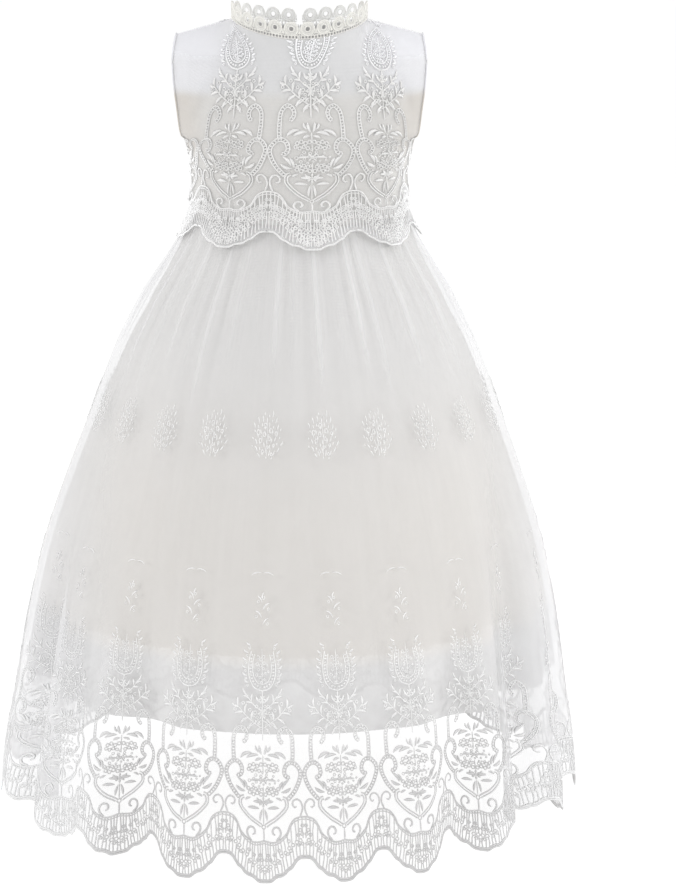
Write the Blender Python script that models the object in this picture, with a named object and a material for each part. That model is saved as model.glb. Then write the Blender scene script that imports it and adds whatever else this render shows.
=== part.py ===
"""A sleeveless christening gown for a child of about twelve months, filled out as if worn, with nobody in it.

Metres, +Z up, the front faces -Y, and +X is the wearer's left. The origin is midway between the neck ends
of the shoulder seams, where the wearer's shoulders carry the gown.
The gown is a plain fitted bodice under a loose lace top with a scalloped edge, a standing trim of lace rings
round the neck, and a full skirt of three layers: an opaque lining, a plain net and an embroidered net.
"""

import math

import bmesh
import bpy
from mathutils import Vector
from mathutils.geometry import delaunay_2d_cdt

# ---------------------------------------------------------------- cloth
BODICE_WALL = 0.0012
LACE_TOP_WALL = 0.0011
LACE_TOP_GAP = 0.0004
SKIRT_WALL = 0.0014
HEM_CORD = 0.0006
SEAM_GAP = 0.0003

# ---------------------------------------------------------------- bodice
WAIST_Z = -0.1650
NECK_HALF_WIDTH = 0.0560
NECK_HALF_DEPTH = 0.0470
NECK_CENTRE_Y = -0.0050
NECK_FRONT_DROP = 0.0020
NECK_SIDE_RISE = 0.0055
NECK_LOW = 0.0055
SHOULDER_TIP = Vector((0.1040, 0.0020, -0.0135))
NECK_SHARE = 0.5  # of a half panel's columns, those that end on the neckline
SLIT_FOOT_Z = -0.1250
SLIT_HALF_WIDTH = 0.0006

# One row a section, from the waist up: the panel's middle, its side edge, and how far round towards
# the side it has turned there, in quarter turns. Depth is from the side seam's plane.
PANEL_COLUMNS = ("mid_z", "mid_depth", "edge_x", "edge_depth", "edge_z", "turn")
FRONT_ROWS = (
    (-0.1650, 0.0710, 0.0918, 0.0000, -0.1650, 1.00),
    (-0.1350, 0.0730, 0.0908, 0.0000, -0.1320, 1.00),
    (-0.1080, 0.0765, 0.0955, 0.0000, -0.1020, 1.00),
    (-0.0900, 0.0775, 0.0990, 0.0180, -0.0930, 0.89),
    (-0.0680, 0.0760, 0.1015, 0.0310, -0.0710, 0.76),
    (-0.0460, 0.0715, 0.1046, 0.0340, -0.0460, 0.66),
    (-0.0280, 0.0635, 0.1054, 0.0250, -0.0255, 0.58),
)
BACK_ROWS = (
    (-0.1650, 0.0700, 0.0918, 0.0000, -0.1650, 1.00),
    (-0.1350, 0.0700, 0.0908, 0.0000, -0.1320, 1.00),
    (-0.1080, 0.0715, 0.0955, 0.0000, -0.1020, 1.00),
    (-0.0900, 0.0725, 0.0990, 0.0190, -0.0930, 0.89),
    (-0.0680, 0.0725, 0.1010, 0.0330, -0.0710, 0.76),
    (-0.0460, 0.0700, 0.1040, 0.0370, -0.0460, 0.66),
    (-0.0260, 0.0640, 0.1048, 0.0270, -0.0255, 0.58),
)
# The heights at which a panel's wall has points, counted in rows; the last is the upper edge.
PANEL_PLACES = (0.0, 1.0, 2.0, 2.5, 3.0, 4.0, 5.0, 6.0, 6.5, 7.0)
UNDERARM_PLACE = 2.0
TOP_PLACE = PANEL_PLACES[-1]

# ---------------------------------------------------------------- lace top
LACE_REPEATS_TOP = 8
TOP_STEPS_PER_REPEAT = 7
PANEL_STEPS = LACE_REPEATS_TOP * TOP_STEPS_PER_REPEAT // 4  # columns of a half panel
LACE_TOP_SHIFT = 1 / TOP_STEPS_PER_REPEAT  # repeats from the centre front to the scallop on its left
LACE_TOP_LOW_Z = -0.1845
LACE_TOP_SCALLOP = 0.0175
LACE_TOP_FLARE = 0.0122  # how far the scalloped edge stands off the waist's section
WAIST_STAND = 0.25  # the share of the flare that it has already at the waist

# Height of the scalloped edge above its lowest point, as a share of the scallop, over half a repeat.
SCALLOP_EDGE = (0.0, 0.13, 0.52, 0.69, 1.0)

# ---------------------------------------------------------------- neck trim
RING_COUNT = 24
RING_RADIUS = 0.0057
RING_HOLE_RADIUS = 0.0021
RING_CENTRE_HEIGHT = 0.0084
TRIM_HEADER = 0.0040
TRIM_WALL = 0.0014
TRIM_BACK_GAP = 0.0048
RING_ARC_STEPS = 7
RING_HOLE_STEPS = 8

# ---------------------------------------------------------------- skirt
SKIRT_TOP_Z = WAIST_Z - SEAM_GAP
HEM_LOW_Z = -0.6800
HEM_SCALLOP = 0.0215
HEM_LIFT = 0.40  # how far a fold swings the hem up, for each metre that it turns in
LACE_REPEATS_HEM = 20
HEM_STEPS_PER_REPEAT = 8
SKIRT_STEPS = LACE_REPEATS_HEM * HEM_STEPS_PER_REPEAT
SKIRT_LEVELS = (-0.182, -0.212, -0.256, -0.320, -0.400, -0.490, -0.580, -0.640)
SKIRT_SWAY = -0.0098  # the hem hangs this far to the wearer's right
FRONT_CROWDING = 0.17  # how much closer the lace's repeats lie in front than at the sides
SIDE_TURN = 0.275  # where the side seams lie on the cloth, counted from the front middle
COLUMN_LEAN_TOP = math.radians(-2.0)
COLUMN_LEAN_HEM = math.radians(3.4)

# One row a section of a layer's inner face, from the waist down.
SECTION_COLUMNS = ("z", "half_width", "half_depth")
LACE_SKIRT_ROWS = (
    (-0.1653, 0.0933, 0.0715),
    (-0.1780, 0.0975, 0.0760),
    (-0.1880, 0.1025, 0.0805),
    (-0.1980, 0.1085, 0.0870),
    (-0.2300, 0.1272, 0.1080),
    (-0.2720, 0.1500, 0.1340),
    (-0.3200, 0.1715, 0.1570),
    (-0.3780, 0.1935, 0.1810),
    (-0.4430, 0.2155, 0.2050),
    (-0.5080, 0.2305, 0.2240),
    (-0.5750, 0.2415, 0.2360),
    (-0.6400, 0.2520, 0.2450),
    (-0.6800, 0.2550, 0.2480),
)
NET_HEM_Z = -0.5600
NET_INSET_TOP = 0.0019
NET_INSET_BELOW = 0.0070
NET_INSET_DEPTH = 0.0800  # how far below the waist the inset is whole
NET_LEVELS = (-0.195, -0.245, -0.320, -0.400, -0.480)
LINING_ROWS = (
    (-0.1653, 0.0894, 0.0675),
    (-0.1950, 0.1000, 0.0770),
    (-0.2450, 0.1230, 0.1040),
    (-0.3200, 0.1580, 0.1440),
    (-0.4000, 0.1830, 0.1730),
    (-0.5030, 0.2080, 0.2010),
)
LINING_HEM_Z = -0.5030
LINING_LEVELS = (-0.195, -0.245, -0.320, -0.410)
LINING_FLUTE_SHARE = 0.75
INNER_STEPS = 80

# One row a fold of the hem: the angle of its middle from the front towards the wearer's left, how far
# it reaches to each side, how deep it turns in, and the height at which it starts.
FLUTE_COLUMNS = ("angle_deg", "reach_deg", "depth", "start_z")
FLUTES = (
    (-166.0, 12.0, 0.0250, -0.330),
    (-140.0, 13.0, 0.0300, -0.290),
    (-113.0, 12.0, 0.0260, -0.350),
    (-67.0, 9.5, 0.0380, -0.330),
    (-50.0, 8.0, 0.0120, -0.440),
    (-31.0, 10.0, 0.0200, -0.420),
    (-12.0, 7.0, 0.0040, -0.500),
    (18.0, 8.0, 0.0050, -0.500),
    (36.0, 10.0, 0.0180, -0.420),
    (57.0, 9.5, 0.0340, -0.320),
    (76.0, 8.0, 0.0200, -0.400),
    (108.0, 12.0, 0.0280, -0.320),
    (136.0, 12.0, 0.0250, -0.360),
    (164.0, 13.0, 0.0300, -0.300),
)

# The gathers below the waist, as patterns that run round the skirt: the steps from one to the next,
# their heights and the lengths over which they fade.
GATHER_STEPS = (4, 3, 5, 4, 4, 5, 3, 4)
GATHER_HEIGHTS = (0.0052, 0.0034, 0.0060, 0.0042, 0.0030, 0.0056, 0.0038)
GATHER_LENGTHS = (0.170, 0.110, 0.230, 0.140, 0.190, 0.095, 0.210, 0.150, 0.120)
GATHER_REACH = 2.0 / SKIRT_STEPS
GATHER_FULL_Z = -0.2250
GATHER_SHARE_AT_WAIST = 0.20

# ---------------------------------------------------------------- fastening
BUTTON_RADIUS = 0.0045
BUTTON_HEIGHT = 0.0030
BUTTON_DROP = 0.0105  # below the neckline
BUTTON_SIDE = 0.0062  # from the centre back, towards the wearer's right
LOOP_RADIUS = 0.0056
LOOP_CORD = 0.0012
LOOP_STEPS = 10
BUTTON_SEGMENTS = 16


def clear_scene():
    for obj in list(bpy.data.objects):
        bpy.data.objects.remove(obj)


def material(name, colour, roughness):
    made = bpy.data.materials.new(name)
    made.use_nodes = True
    shader = made.node_tree.nodes["Principled BSDF"]
    shader.inputs["Base Color"].default_value = (*colour, 1.0)
    shader.inputs["Roughness"].default_value = roughness
    shader.inputs["Metallic"].default_value = 0.0
    return made


def add_object(name, mesh, finish):
    obj = bpy.data.objects.new(name, mesh)
    bpy.context.scene.collection.objects.link(obj)
    mesh.materials.append(finish)
    mesh.shade_smooth()
    mesh.set_sharp_from_angle(angle=math.radians(50))
    return obj


def smooth_step(value):
    value = min(max(value, 0.0), 1.0)
    return value * value * (3 - 2 * value)


def hump(distance, reach):
    """1 at the middle, 0 at the reach and past it, with a soft top and foot."""
    if abs(distance) >= reach:
        return 0.0
    return math.cos(0.5 * math.pi * distance / reach) ** 2


def curve_through(before, start, end, after, share):
    """A Catmull-Rom curve's point between start and end. It works on numbers and on vectors."""
    return start + 0.5 * share * (
        (end - before)
        + share * ((2 * before - 5 * start + 4 * end - after) + share * (3 * (start - end) + after - before))
    )


def along(points, place):
    """The point at a place, counted in points, on the curve through them."""
    last = len(points) - 1
    index = min(int(place), last - 1)
    start, end = points[index], points[index + 1]
    before = points[index - 1] if index > 0 else 2 * start - end
    after = points[index + 2] if index + 2 <= last else 2 * end - start
    return curve_through(before, start, end, after, place - index)


# ================================================================ walls
def wall(name, inner, outer, finish):
    """A closed wall between two grids of points, given as rows of the same length."""
    rows, columns = len(inner), len(inner[0])
    mesh = bpy.data.meshes.new(name)
    work = bmesh.new()
    inside = [[work.verts.new(point) for point in row] for row in inner]
    outside = [[work.verts.new(point) for point in row] for row in outer]
    for r in range(rows - 1):
        for c in range(columns - 1):
            work.faces.new((outside[r][c], outside[r][c + 1], outside[r + 1][c + 1], outside[r + 1][c]))
            work.faces.new((inside[r][c], inside[r + 1][c], inside[r + 1][c + 1], inside[r][c + 1]))
    for c in range(columns - 1):
        work.faces.new((inside[0][c], inside[0][c + 1], outside[0][c + 1], outside[0][c]))
        work.faces.new((inside[-1][c + 1], inside[-1][c], outside[-1][c], outside[-1][c + 1]))
    for r in range(rows - 1):
        work.faces.new((inside[r + 1][0], inside[r][0], outside[r][0], outside[r + 1][0]))
        work.faces.new((inside[r][-1], inside[r + 1][-1], outside[r + 1][-1], outside[r][-1]))
    bmesh.ops.recalc_face_normals(work, faces=work.faces)
    work.to_mesh(mesh)
    work.free()
    return add_object(name, mesh, finish)


# ================================================================ bodice
def neckline(angle):
    """The neck seam, at an angle from the centre front towards the wearer's left."""
    return Vector(
        (
            NECK_HALF_WIDTH * math.sin(angle),
            NECK_CENTRE_Y - NECK_HALF_DEPTH * math.cos(angle),
            -NECK_LOW - NECK_FRONT_DROP * math.cos(angle) - NECK_SIDE_RISE * math.cos(2 * angle),
        )
    )


def section_point(row, share, facing):
    """A point of one section of a half panel, at a share of its way from the middle to the side."""
    at = dict(zip(PANEL_COLUMNS, row))
    whole = at["turn"] * math.pi / 2
    turned = (1 - math.cos(share * whole)) / (1 - math.cos(whole))
    depth = at["mid_depth"] + (at["edge_depth"] - at["mid_depth"]) * turned
    x = at["edge_x"] * math.sin(share * whole) / math.sin(whole)
    z = at["mid_z"] + (at["edge_z"] - at["mid_z"]) * turned
    return Vector((x, facing * depth, z))


def top_point(share, facing):
    """A point of a half panel's upper edge: along the neckline, then along the shoulder seam."""
    if share <= NECK_SHARE:
        angle = share / NECK_SHARE * math.pi / 2
        return neckline(angle if facing < 0 else math.pi - angle)
    neck_point = neckline(math.pi / 2)
    return neck_point.lerp(SHOULDER_TIP, (share - NECK_SHARE) / (1 - NECK_SHARE))


def panel_point(share, place, facing):
    """A point of the body's left half, facing -1 for the front and 1 for the back, at a height in rows."""
    rows = FRONT_ROWS if facing < 0 else BACK_ROWS
    column = [section_point(row, share, facing) for row in rows] + [top_point(share, facing)]
    index = min(int(place), len(rows) - 1)
    start, end = column[index], column[index + 1]
    before = column[index - 1] if index > 0 else 2 * start - end
    after = column[index + 2] if index + 2 < len(column) else past_edge(start, end, share)
    point = curve_through(before, start, end, after, place - index)
    if place < UNDERARM_PLACE + 1:
        point.y = facing * max(facing * point.y, 0.0)
    return point


def past_edge(before, end, share):
    """The point that a column heads for past its upper edge: over the shoulder, the mirror of its last."""
    ahead = 2 * end - before
    mirrored = Vector((before.x, ahead.y, before.z))
    return ahead.lerp(mirrored, smooth_step((share - 0.30) / 0.20))


def panel_normal(share, place, facing):
    """The way out of the body there; at the shoulder seam it is the seam's own."""
    step = 0.01
    low, high = max(place - step, 0.0), min(place + step, TOP_PLACE)
    near, far = max(share - step, 0.0), min(share + step, 1.0)
    rise = panel_point(share, high, facing) - panel_point(share, low, facing)
    run = panel_point(far, place, facing) - panel_point(near, place, facing)
    out = run.cross(rise) if facing < 0 else rise.cross(run)
    out.normalize()
    if share == 0.0:
        out.x = 0.0
    if share == 1.0 and place <= UNDERARM_PLACE:
        out.y = 0.0
    seam = SHOULDER_TIP - neckline(math.pi / 2)
    seam_out = Vector((-seam.z, 0.0, seam.x)).normalized()
    near_seam = smooth_step(place - TOP_PLACE + 1) * smooth_step((share - 0.30) / 0.20)
    return out.lerp(seam_out, near_seam).normalized()


def placed(point, side, facing, share):
    """Moves a left-half point to its own side, and opens the seams and the slit at the centre back."""
    moved = point.copy()
    moved.y += facing * SEAM_GAP / 2
    if facing > 0:
        slit = SLIT_HALF_WIDTH * smooth_step((point.z - SLIT_FOOT_Z) / -SLIT_FOOT_Z)
        moved.x += (SEAM_GAP / 2 + slit) * (1 - share)
    moved.x *= side
    return moved


def half_columns(steps, facing, side):
    """The (share, side) of each column of a panel: a whole front, or one half of the back."""
    left = [(i / steps, 1) for i in range(steps + 1)]
    right = [(i / steps, -1) for i in range(steps, 0, -1)]
    if facing < 0:
        return right + left
    return left if side > 0 else right + [(0.0, -1)]


def bodice_panel(name, facing, side, finish):
    columns = half_columns(PANEL_STEPS, facing, side)
    inner, outer = [], []
    for place in PANEL_PLACES:
        inside, outside = [], []
        for share, mirror in columns:
            point = panel_point(share, place, facing)
            out = panel_normal(share, place, facing)
            inside.append(placed(point, mirror, facing, share))
            outside.append(placed(point + out * BODICE_WALL, mirror, facing, share))
        inner.append(inside)
        outer.append(outside)
    return wall(name, inner, outer, finish)


# ================================================================ lace top
def scallop_height(phase):
    """Height of the scalloped edge, 0 to 1, at a phase counted in repeats from a scallop's low point."""
    half = abs(phase - round(phase)) * 2
    return along(SCALLOP_EDGE, half * (len(SCALLOP_EDGE) - 1))


def lace_edge_point(share, facing, mirror):
    """The scalloped lower edge of the lace top, and the way out there."""
    rows = FRONT_ROWS if facing < 0 else BACK_ROWS
    foot = section_point(rows[0], share, facing)
    out = panel_normal(share, 0.0, facing)
    turn = share / 4 if facing < 0 else 0.5 - share / 4
    phase = mirror * turn * LACE_REPEATS_TOP - LACE_TOP_SHIFT
    drop = LACE_TOP_LOW_Z + LACE_TOP_SCALLOP * scallop_height(phase)
    hang = (WAIST_Z - drop) / (WAIST_Z - LACE_TOP_LOW_Z)
    stand = BODICE_WALL + LACE_TOP_GAP + LACE_TOP_FLARE * (WAIST_STAND + (1 - WAIST_STAND) * hang)
    point = foot + out * stand
    point.z = drop
    return point, out


def lace_top_panel(name, facing, side, finish):
    columns = half_columns(PANEL_STEPS, facing, side)
    inner, outer = [], []
    edge_in, edge_out = [], []
    for share, mirror in columns:
        point, out = lace_edge_point(share, facing, mirror)
        edge_in.append(placed(point, mirror, facing, share))
        edge_out.append(placed(point + out * (LACE_TOP_WALL + HEM_CORD), mirror, facing, share))
    inner.append(edge_in)
    outer.append(edge_out)
    for place in PANEL_PLACES:
        spread = WAIST_STAND * LACE_TOP_FLARE * (1 - smooth_step(place))
        inside, outside = [], []
        for share, mirror in columns:
            out = panel_normal(share, place, facing)
            point = panel_point(share, place, facing) + out * (BODICE_WALL + LACE_TOP_GAP + spread)
            inside.append(placed(point, mirror, facing, share))
            outside.append(placed(point + out * LACE_TOP_WALL, mirror, facing, share))
        inner.append(inside)
        outer.append(outside)
    return wall(name, inner, outer, finish)


# ================================================================ neck trim
def neck_lengths(steps=720):
    """Running length of the neck seam from the centre back, past the wearer's left, and round again."""
    lengths = [0.0]
    for i in range(steps):
        a = neckline(math.pi - 2 * math.pi * i / steps)
        b = neckline(math.pi - 2 * math.pi * (i + 1) / steps)
        lengths.append(lengths[-1] + (b - a).length)
    return lengths


NECK_LENGTHS = neck_lengths()


def neck_angle(distance):
    """The neckline's angle at a distance along the seam from the centre back."""
    last = len(NECK_LENGTHS) - 1
    low, high = 0, last
    while high - low > 1:
        middle = (low + high) // 2
        if NECK_LENGTHS[middle] <= distance:
            low = middle
        else:
            high = middle
    span = NECK_LENGTHS[high] - NECK_LENGTHS[low]
    place = low + (distance - NECK_LENGTHS[low]) / span
    return math.pi - 2 * math.pi * place / last


def trim_point(distance, height, layer):
    """A point of the standing trim; layer is 0 on its inner face and 1 on its outer one."""
    angle = neck_angle(distance)
    seam = neckline(angle)
    ahead, behind = neckline(angle - 0.01), neckline(angle + 0.01)
    way = ahead - behind
    out = Vector((-way.y, way.x, 0.0)).normalized()
    middle = (BODICE_WALL + LACE_TOP_GAP + LACE_TOP_WALL) / 2
    point = seam + out * (middle + TRIM_WALL * (layer - 0.5))
    point.z += seam_rise(angle) * (BODICE_WALL + LACE_TOP_GAP + LACE_TOP_WALL) + SEAM_GAP + height
    return point


def seam_rise(angle):
    """How far the bodice's wall rises at the neck seam for each metre of its thickness."""
    folded = abs(math.atan2(math.sin(angle), math.cos(angle)))
    facing = -1 if folded <= math.pi / 2 else 1
    share = (folded if facing < 0 else math.pi - folded) / (math.pi / 2) * NECK_SHARE
    return max(panel_normal(share, TOP_PLACE, facing).z, 0.0)


def trim_strip(name, first, last, finish):
    """A length of the trim that holds the rings from first to last, cut from one flat outline."""
    pitch = (NECK_LENGTHS[-1] - TRIM_BACK_GAP) / RING_COUNT
    start = TRIM_BACK_GAP / 2 + first * pitch + SEAM_GAP / 2
    end = TRIM_BACK_GAP / 2 + (last + 1) * pitch - SEAM_GAP / 2
    foot_angle = math.asin((RING_CENTRE_HEIGHT - TRIM_HEADER) / RING_RADIUS)
    outline, holes = [], []
    foot_steps = 3 * (last - first + 1)
    for i in range(foot_steps + 1):
        outline.append((start + (end - start) * i / foot_steps, 0.0))
    outline.append((end, TRIM_HEADER))
    for ring in range(last, first - 1, -1):
        middle = TRIM_BACK_GAP / 2 + (ring + 0.5) * pitch
        for i in range(RING_ARC_STEPS + 1):
            angle = -foot_angle + (math.pi + 2 * foot_angle) * i / RING_ARC_STEPS
            outline.append(
                (middle + RING_RADIUS * math.cos(angle), RING_CENTRE_HEIGHT + RING_RADIUS * math.sin(angle))
            )
        hole = []
        for i in range(RING_HOLE_STEPS):
            angle = 2 * math.pi * i / RING_HOLE_STEPS
            hole.append(
                (
                    middle + RING_HOLE_RADIUS * math.cos(angle),
                    RING_CENTRE_HEIGHT + RING_HOLE_RADIUS * math.sin(angle),
                )
            )
        holes.append(hole)
    outline.append((start, TRIM_HEADER))
    return flat_cut_wall(name, outline, holes, finish)


def flat_cut_wall(name, outline, holes, finish):
    """A wall cut from a flat outline with holes, bent to the neck seam."""
    flat = [Vector(p) for p in outline]
    edges = [(i, (i + 1) % len(outline)) for i in range(len(outline))]
    for hole in holes:
        base = len(flat)
        flat += [Vector(p) for p in hole]
        edges += [(base + i, base + (i + 1) % len(hole)) for i in range(len(hole))]
    points, _, faces, _, _, _ = delaunay_2d_cdt(flat, edges, [], 1, 1e-7)
    kept = [face for face in faces if not in_a_hole(face, points, holes)]
    mesh = bpy.data.meshes.new(name)
    work = bmesh.new()
    inside = [work.verts.new(trim_point(p.x, p.y, 0)) for p in points]
    outside = [work.verts.new(trim_point(p.x, p.y, 1)) for p in points]
    rims = {}
    for face in kept:
        work.faces.new([inside[i] for i in face])
        work.faces.new([outside[i] for i in reversed(face)])
        for i, a in enumerate(face):
            rims.setdefault(frozenset((a, face[(i + 1) % len(face)])), []).append(
                (a, face[(i + 1) % len(face)])
            )
    for sides in rims.values():
        if len(sides) == 1:
            a, b = sides[0]
            work.faces.new((inside[b], inside[a], outside[a], outside[b]))
    bmesh.ops.recalc_face_normals(work, faces=work.faces)
    work.to_mesh(mesh)
    work.free()
    return add_object(name, mesh, finish)


def in_a_hole(face, points, holes):
    middle = sum((points[i] for i in face), Vector((0.0, 0.0))) / len(face)
    for hole in holes:
        centre = sum((Vector(p) for p in hole), Vector((0.0, 0.0))) / len(hole)
        if (middle - centre).length < RING_HOLE_RADIUS * math.cos(math.pi / RING_HOLE_STEPS):
            return True
    return False


# ================================================================ skirt
def section(rows, z):
    """(half width, half depth) of a skirt layer at a height, on a smooth curve through its rows."""
    heights, half_widths, half_depths = zip(*rows)
    index = 0
    while index < len(rows) - 2 and z < heights[index + 1]:
        index += 1
    place = index + (heights[index] - z) / (heights[index] - heights[index + 1])
    return along(half_widths, place), along(half_depths, place)


def fall(z):
    """0 at the waist and 1 at the hem."""
    return min(max((WAIST_Z - z) / (WAIST_Z - HEM_LOW_Z), 0.0), 1.0)


def cloth_angle(turn, z):
    """The angle from the front at which a place of the cloth hangs; turn counts from the front middle."""
    whole = 2 * math.pi * turn
    lean = COLUMN_LEAN_TOP + (COLUMN_LEAN_HEM - COLUMN_LEAN_TOP) * fall(z)
    return whole - FRONT_CROWDING * math.sin(whole) + lean * math.cos(whole / 2) ** 2


def flute_depth(angle, z):
    """How far the folds of the hem turn in at an angle and height."""
    depth = 0.0
    for row in FLUTES:
        fold = dict(zip(FLUTE_COLUMNS, row))
        away = math.degrees(angle) - fold["angle_deg"]
        away = (away + 180.0) % 360.0 - 180.0
        grown = smooth_step((fold["start_z"] - z) / (fold["start_z"] - HEM_LOW_Z))
        depth += fold["depth"] * hump(away, fold["reach_deg"]) * grown
    return depth


def gather_height(turn, z):
    """How far the gathers stand out at a place of the cloth."""
    column = -SKIRT_STEPS // 2
    height = 0.0
    for i in range(len(GATHER_STEPS) * SKIRT_STEPS // sum(GATHER_STEPS)):
        away = turn - column / SKIRT_STEPS
        away -= round(away)
        column += GATHER_STEPS[i % len(GATHER_STEPS)]
        if abs(away) >= GATHER_REACH:
            continue
        tall = GATHER_HEIGHTS[i % len(GATHER_HEIGHTS)]
        length = GATHER_LENGTHS[i % len(GATHER_LENGTHS)]
        if z > GATHER_FULL_Z:
            risen = smooth_step((WAIST_Z - z) / (WAIST_Z - GATHER_FULL_Z))
            size = GATHER_SHARE_AT_WAIST + (1 - GATHER_SHARE_AT_WAIST) * risen
        else:
            size = 1 - smooth_step((GATHER_FULL_Z - z) / length)
        height += tall * size * hump(away, GATHER_REACH)
    return height


def skirt_point(turn, z, rows, inset, flute_share, gathered):
    """A point of a skirt layer's inner face, and the level way out there."""
    angle = cloth_angle(turn, z)
    half_width, half_depth = section(rows, z)
    out = Vector((math.sin(angle) / half_width, -math.cos(angle) / half_depth, 0.0)).normalized()
    point = Vector((half_width * math.sin(angle), -half_depth * math.cos(angle), z))
    stand = -inset - flute_share * flute_depth(angle, z)
    if gathered:
        stand += gather_height(turn, z)
    point += out * stand
    point.x += SKIRT_SWAY * fall(z)
    return point, out


def net_inset(z):
    grown = smooth_step((SKIRT_TOP_Z - z) / NET_INSET_DEPTH)
    return NET_INSET_TOP + (NET_INSET_BELOW - NET_INSET_TOP) * grown


def hem_z(turn):
    """The scalloped hem's height; a cusp lies at the centre front, and folds swing the hem up."""
    lift = HEM_LIFT * flute_depth(cloth_angle(turn, HEM_LOW_Z), HEM_LOW_Z)
    return HEM_LOW_Z + HEM_SCALLOP * scallop_height(turn * LACE_REPEATS_HEM + 0.5) + lift


def skirt_panel(name, levels, steps, facing, layer, finish):
    """The front or back half of a skirt layer. Layer gives (point, way out) at a turn and a level, and
    a level of None is the hem."""
    side = round(SIDE_TURN * steps)
    first = -side if facing < 0 else side
    last = side if facing < 0 else steps - side
    inner, outer = [], []
    for level in levels:
        inside, outside = [], []
        for column in range(first, last + 1):
            turn = column / steps
            point, out, thickness = layer(turn, level)
            if column in (first, last):
                along_hem = Vector((-out.y, out.x, 0.0))
                point = point + along_hem * (SEAM_GAP / 2 if column == first else -SEAM_GAP / 2)
            inside.append(point)
            outside.append(point + out * thickness)
        inner.append(inside)
        outer.append(outside)
    return wall(name, inner, outer, finish)


def lace_layer(turn, level):
    at_hem = level is None
    z = hem_z(turn) if at_hem else level
    point, out = skirt_point(turn, z, LACE_SKIRT_ROWS, 0.0, 1.0, True)
    return point, out, SKIRT_WALL + (HEM_CORD if at_hem else 0.0)


def net_layer(turn, level):
    z = NET_HEM_Z if level is None else level
    point, out = skirt_point(turn, z, LACE_SKIRT_ROWS, net_inset(z), 1.0, False)
    return point, out, SKIRT_WALL


def lining_layer(turn, level):
    z = LINING_HEM_Z if level is None else level
    point, out = skirt_point(turn, z, LINING_ROWS, 0.0, LINING_FLUTE_SHARE, False)
    return point, out, SKIRT_WALL


# ================================================================ fastening
def button_seat():
    """Where the button is sewn, just below the neckline, and the way out there."""
    place = TOP_PLACE
    while panel_point(0.0, place, 1).z > neckline(math.pi).z - BUTTON_DROP:
        place -= 0.02
    lift = BODICE_WALL + LACE_TOP_GAP + LACE_TOP_WALL + SEAM_GAP
    out = panel_normal(0.0, place, 1)
    seat = panel_point(0.0, place, 1) + out * lift
    seat.x = -BUTTON_SIDE
    return seat, out


def button(finish):
    """A small domed button, turned about its own axis and laid against the lace top."""
    seat, out = button_seat()
    profile = ((1.0, 0.0), (1.0, 0.35), (0.80, 0.72), (0.45, 0.95), (0.0, 1.0))
    mesh = bpy.data.meshes.new("button")
    work = bmesh.new()
    across = Vector((1.0, 0.0, 0.0))
    up = out.cross(across).normalized()
    rings = []
    for wide, tall in profile[:-1]:
        ring = []
        for i in range(BUTTON_SEGMENTS):
            angle = 2 * math.pi * i / BUTTON_SEGMENTS
            spoke = across * math.cos(angle) + up * math.sin(angle)
            ring.append(work.verts.new(seat + spoke * wide * BUTTON_RADIUS + out * tall * BUTTON_HEIGHT))
        rings.append(ring)
    work.faces.new(rings[0])
    for low, high in zip(rings, rings[1:]):
        for i in range(BUTTON_SEGMENTS):
            j = (i + 1) % BUTTON_SEGMENTS
            work.faces.new((low[i], low[j], high[j], high[i]))
    crown = work.verts.new(seat + out * BUTTON_HEIGHT)
    for i in range(BUTTON_SEGMENTS):
        work.faces.new((rings[-1][i], rings[-1][(i + 1) % BUTTON_SEGMENTS], crown))
    bmesh.ops.recalc_face_normals(work, faces=work.faces)
    work.to_mesh(mesh)
    work.free()
    return add_object("button", mesh, finish)


def button_loop(finish):
    """A thread loop from the left back's edge, round the button and back."""
    seat, out = button_seat()
    up = out.cross(Vector((1.0, 0.0, 0.0))).normalized()
    level = seat + out * (LOOP_CORD / 2)
    route = []
    end = BUTTON_SIDE + SLIT_HALF_WIDTH + 2 * SEAM_GAP
    for way in (1, -1):
        leg = [level + Vector((end, 0, 0)) + up * way * LOOP_RADIUS * 0.45]
        leg.append(level + Vector((end * 0.62, 0, 0)) + up * way * LOOP_RADIUS * 0.88)
        route.append(leg)
    points = list(route[0])
    for i in range(LOOP_STEPS + 1):
        angle = math.radians(80) + math.radians(200) * i / LOOP_STEPS
        points.append(
            level
            + Vector((LOOP_RADIUS * math.cos(angle), 0, 0))
            + up * (LOOP_RADIUS * math.sin(angle))
        )
    points += reversed(route[1])
    curve = bpy.data.curves.new("button_loop", "CURVE")
    curve.dimensions = "3D"
    curve.bevel_depth = LOOP_CORD / 2
    curve.bevel_resolution = 1
    curve.use_fill_caps = True
    spline = curve.splines.new("POLY")
    spline.points.add(len(points) - 1)
    for target, point in zip(spline.points, points):
        target.co = (*point, 1.0)
    obj = bpy.data.objects.new("button_loop", curve)
    bpy.context.scene.collection.objects.link(obj)
    curve.materials.append(finish)
    return obj


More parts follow.
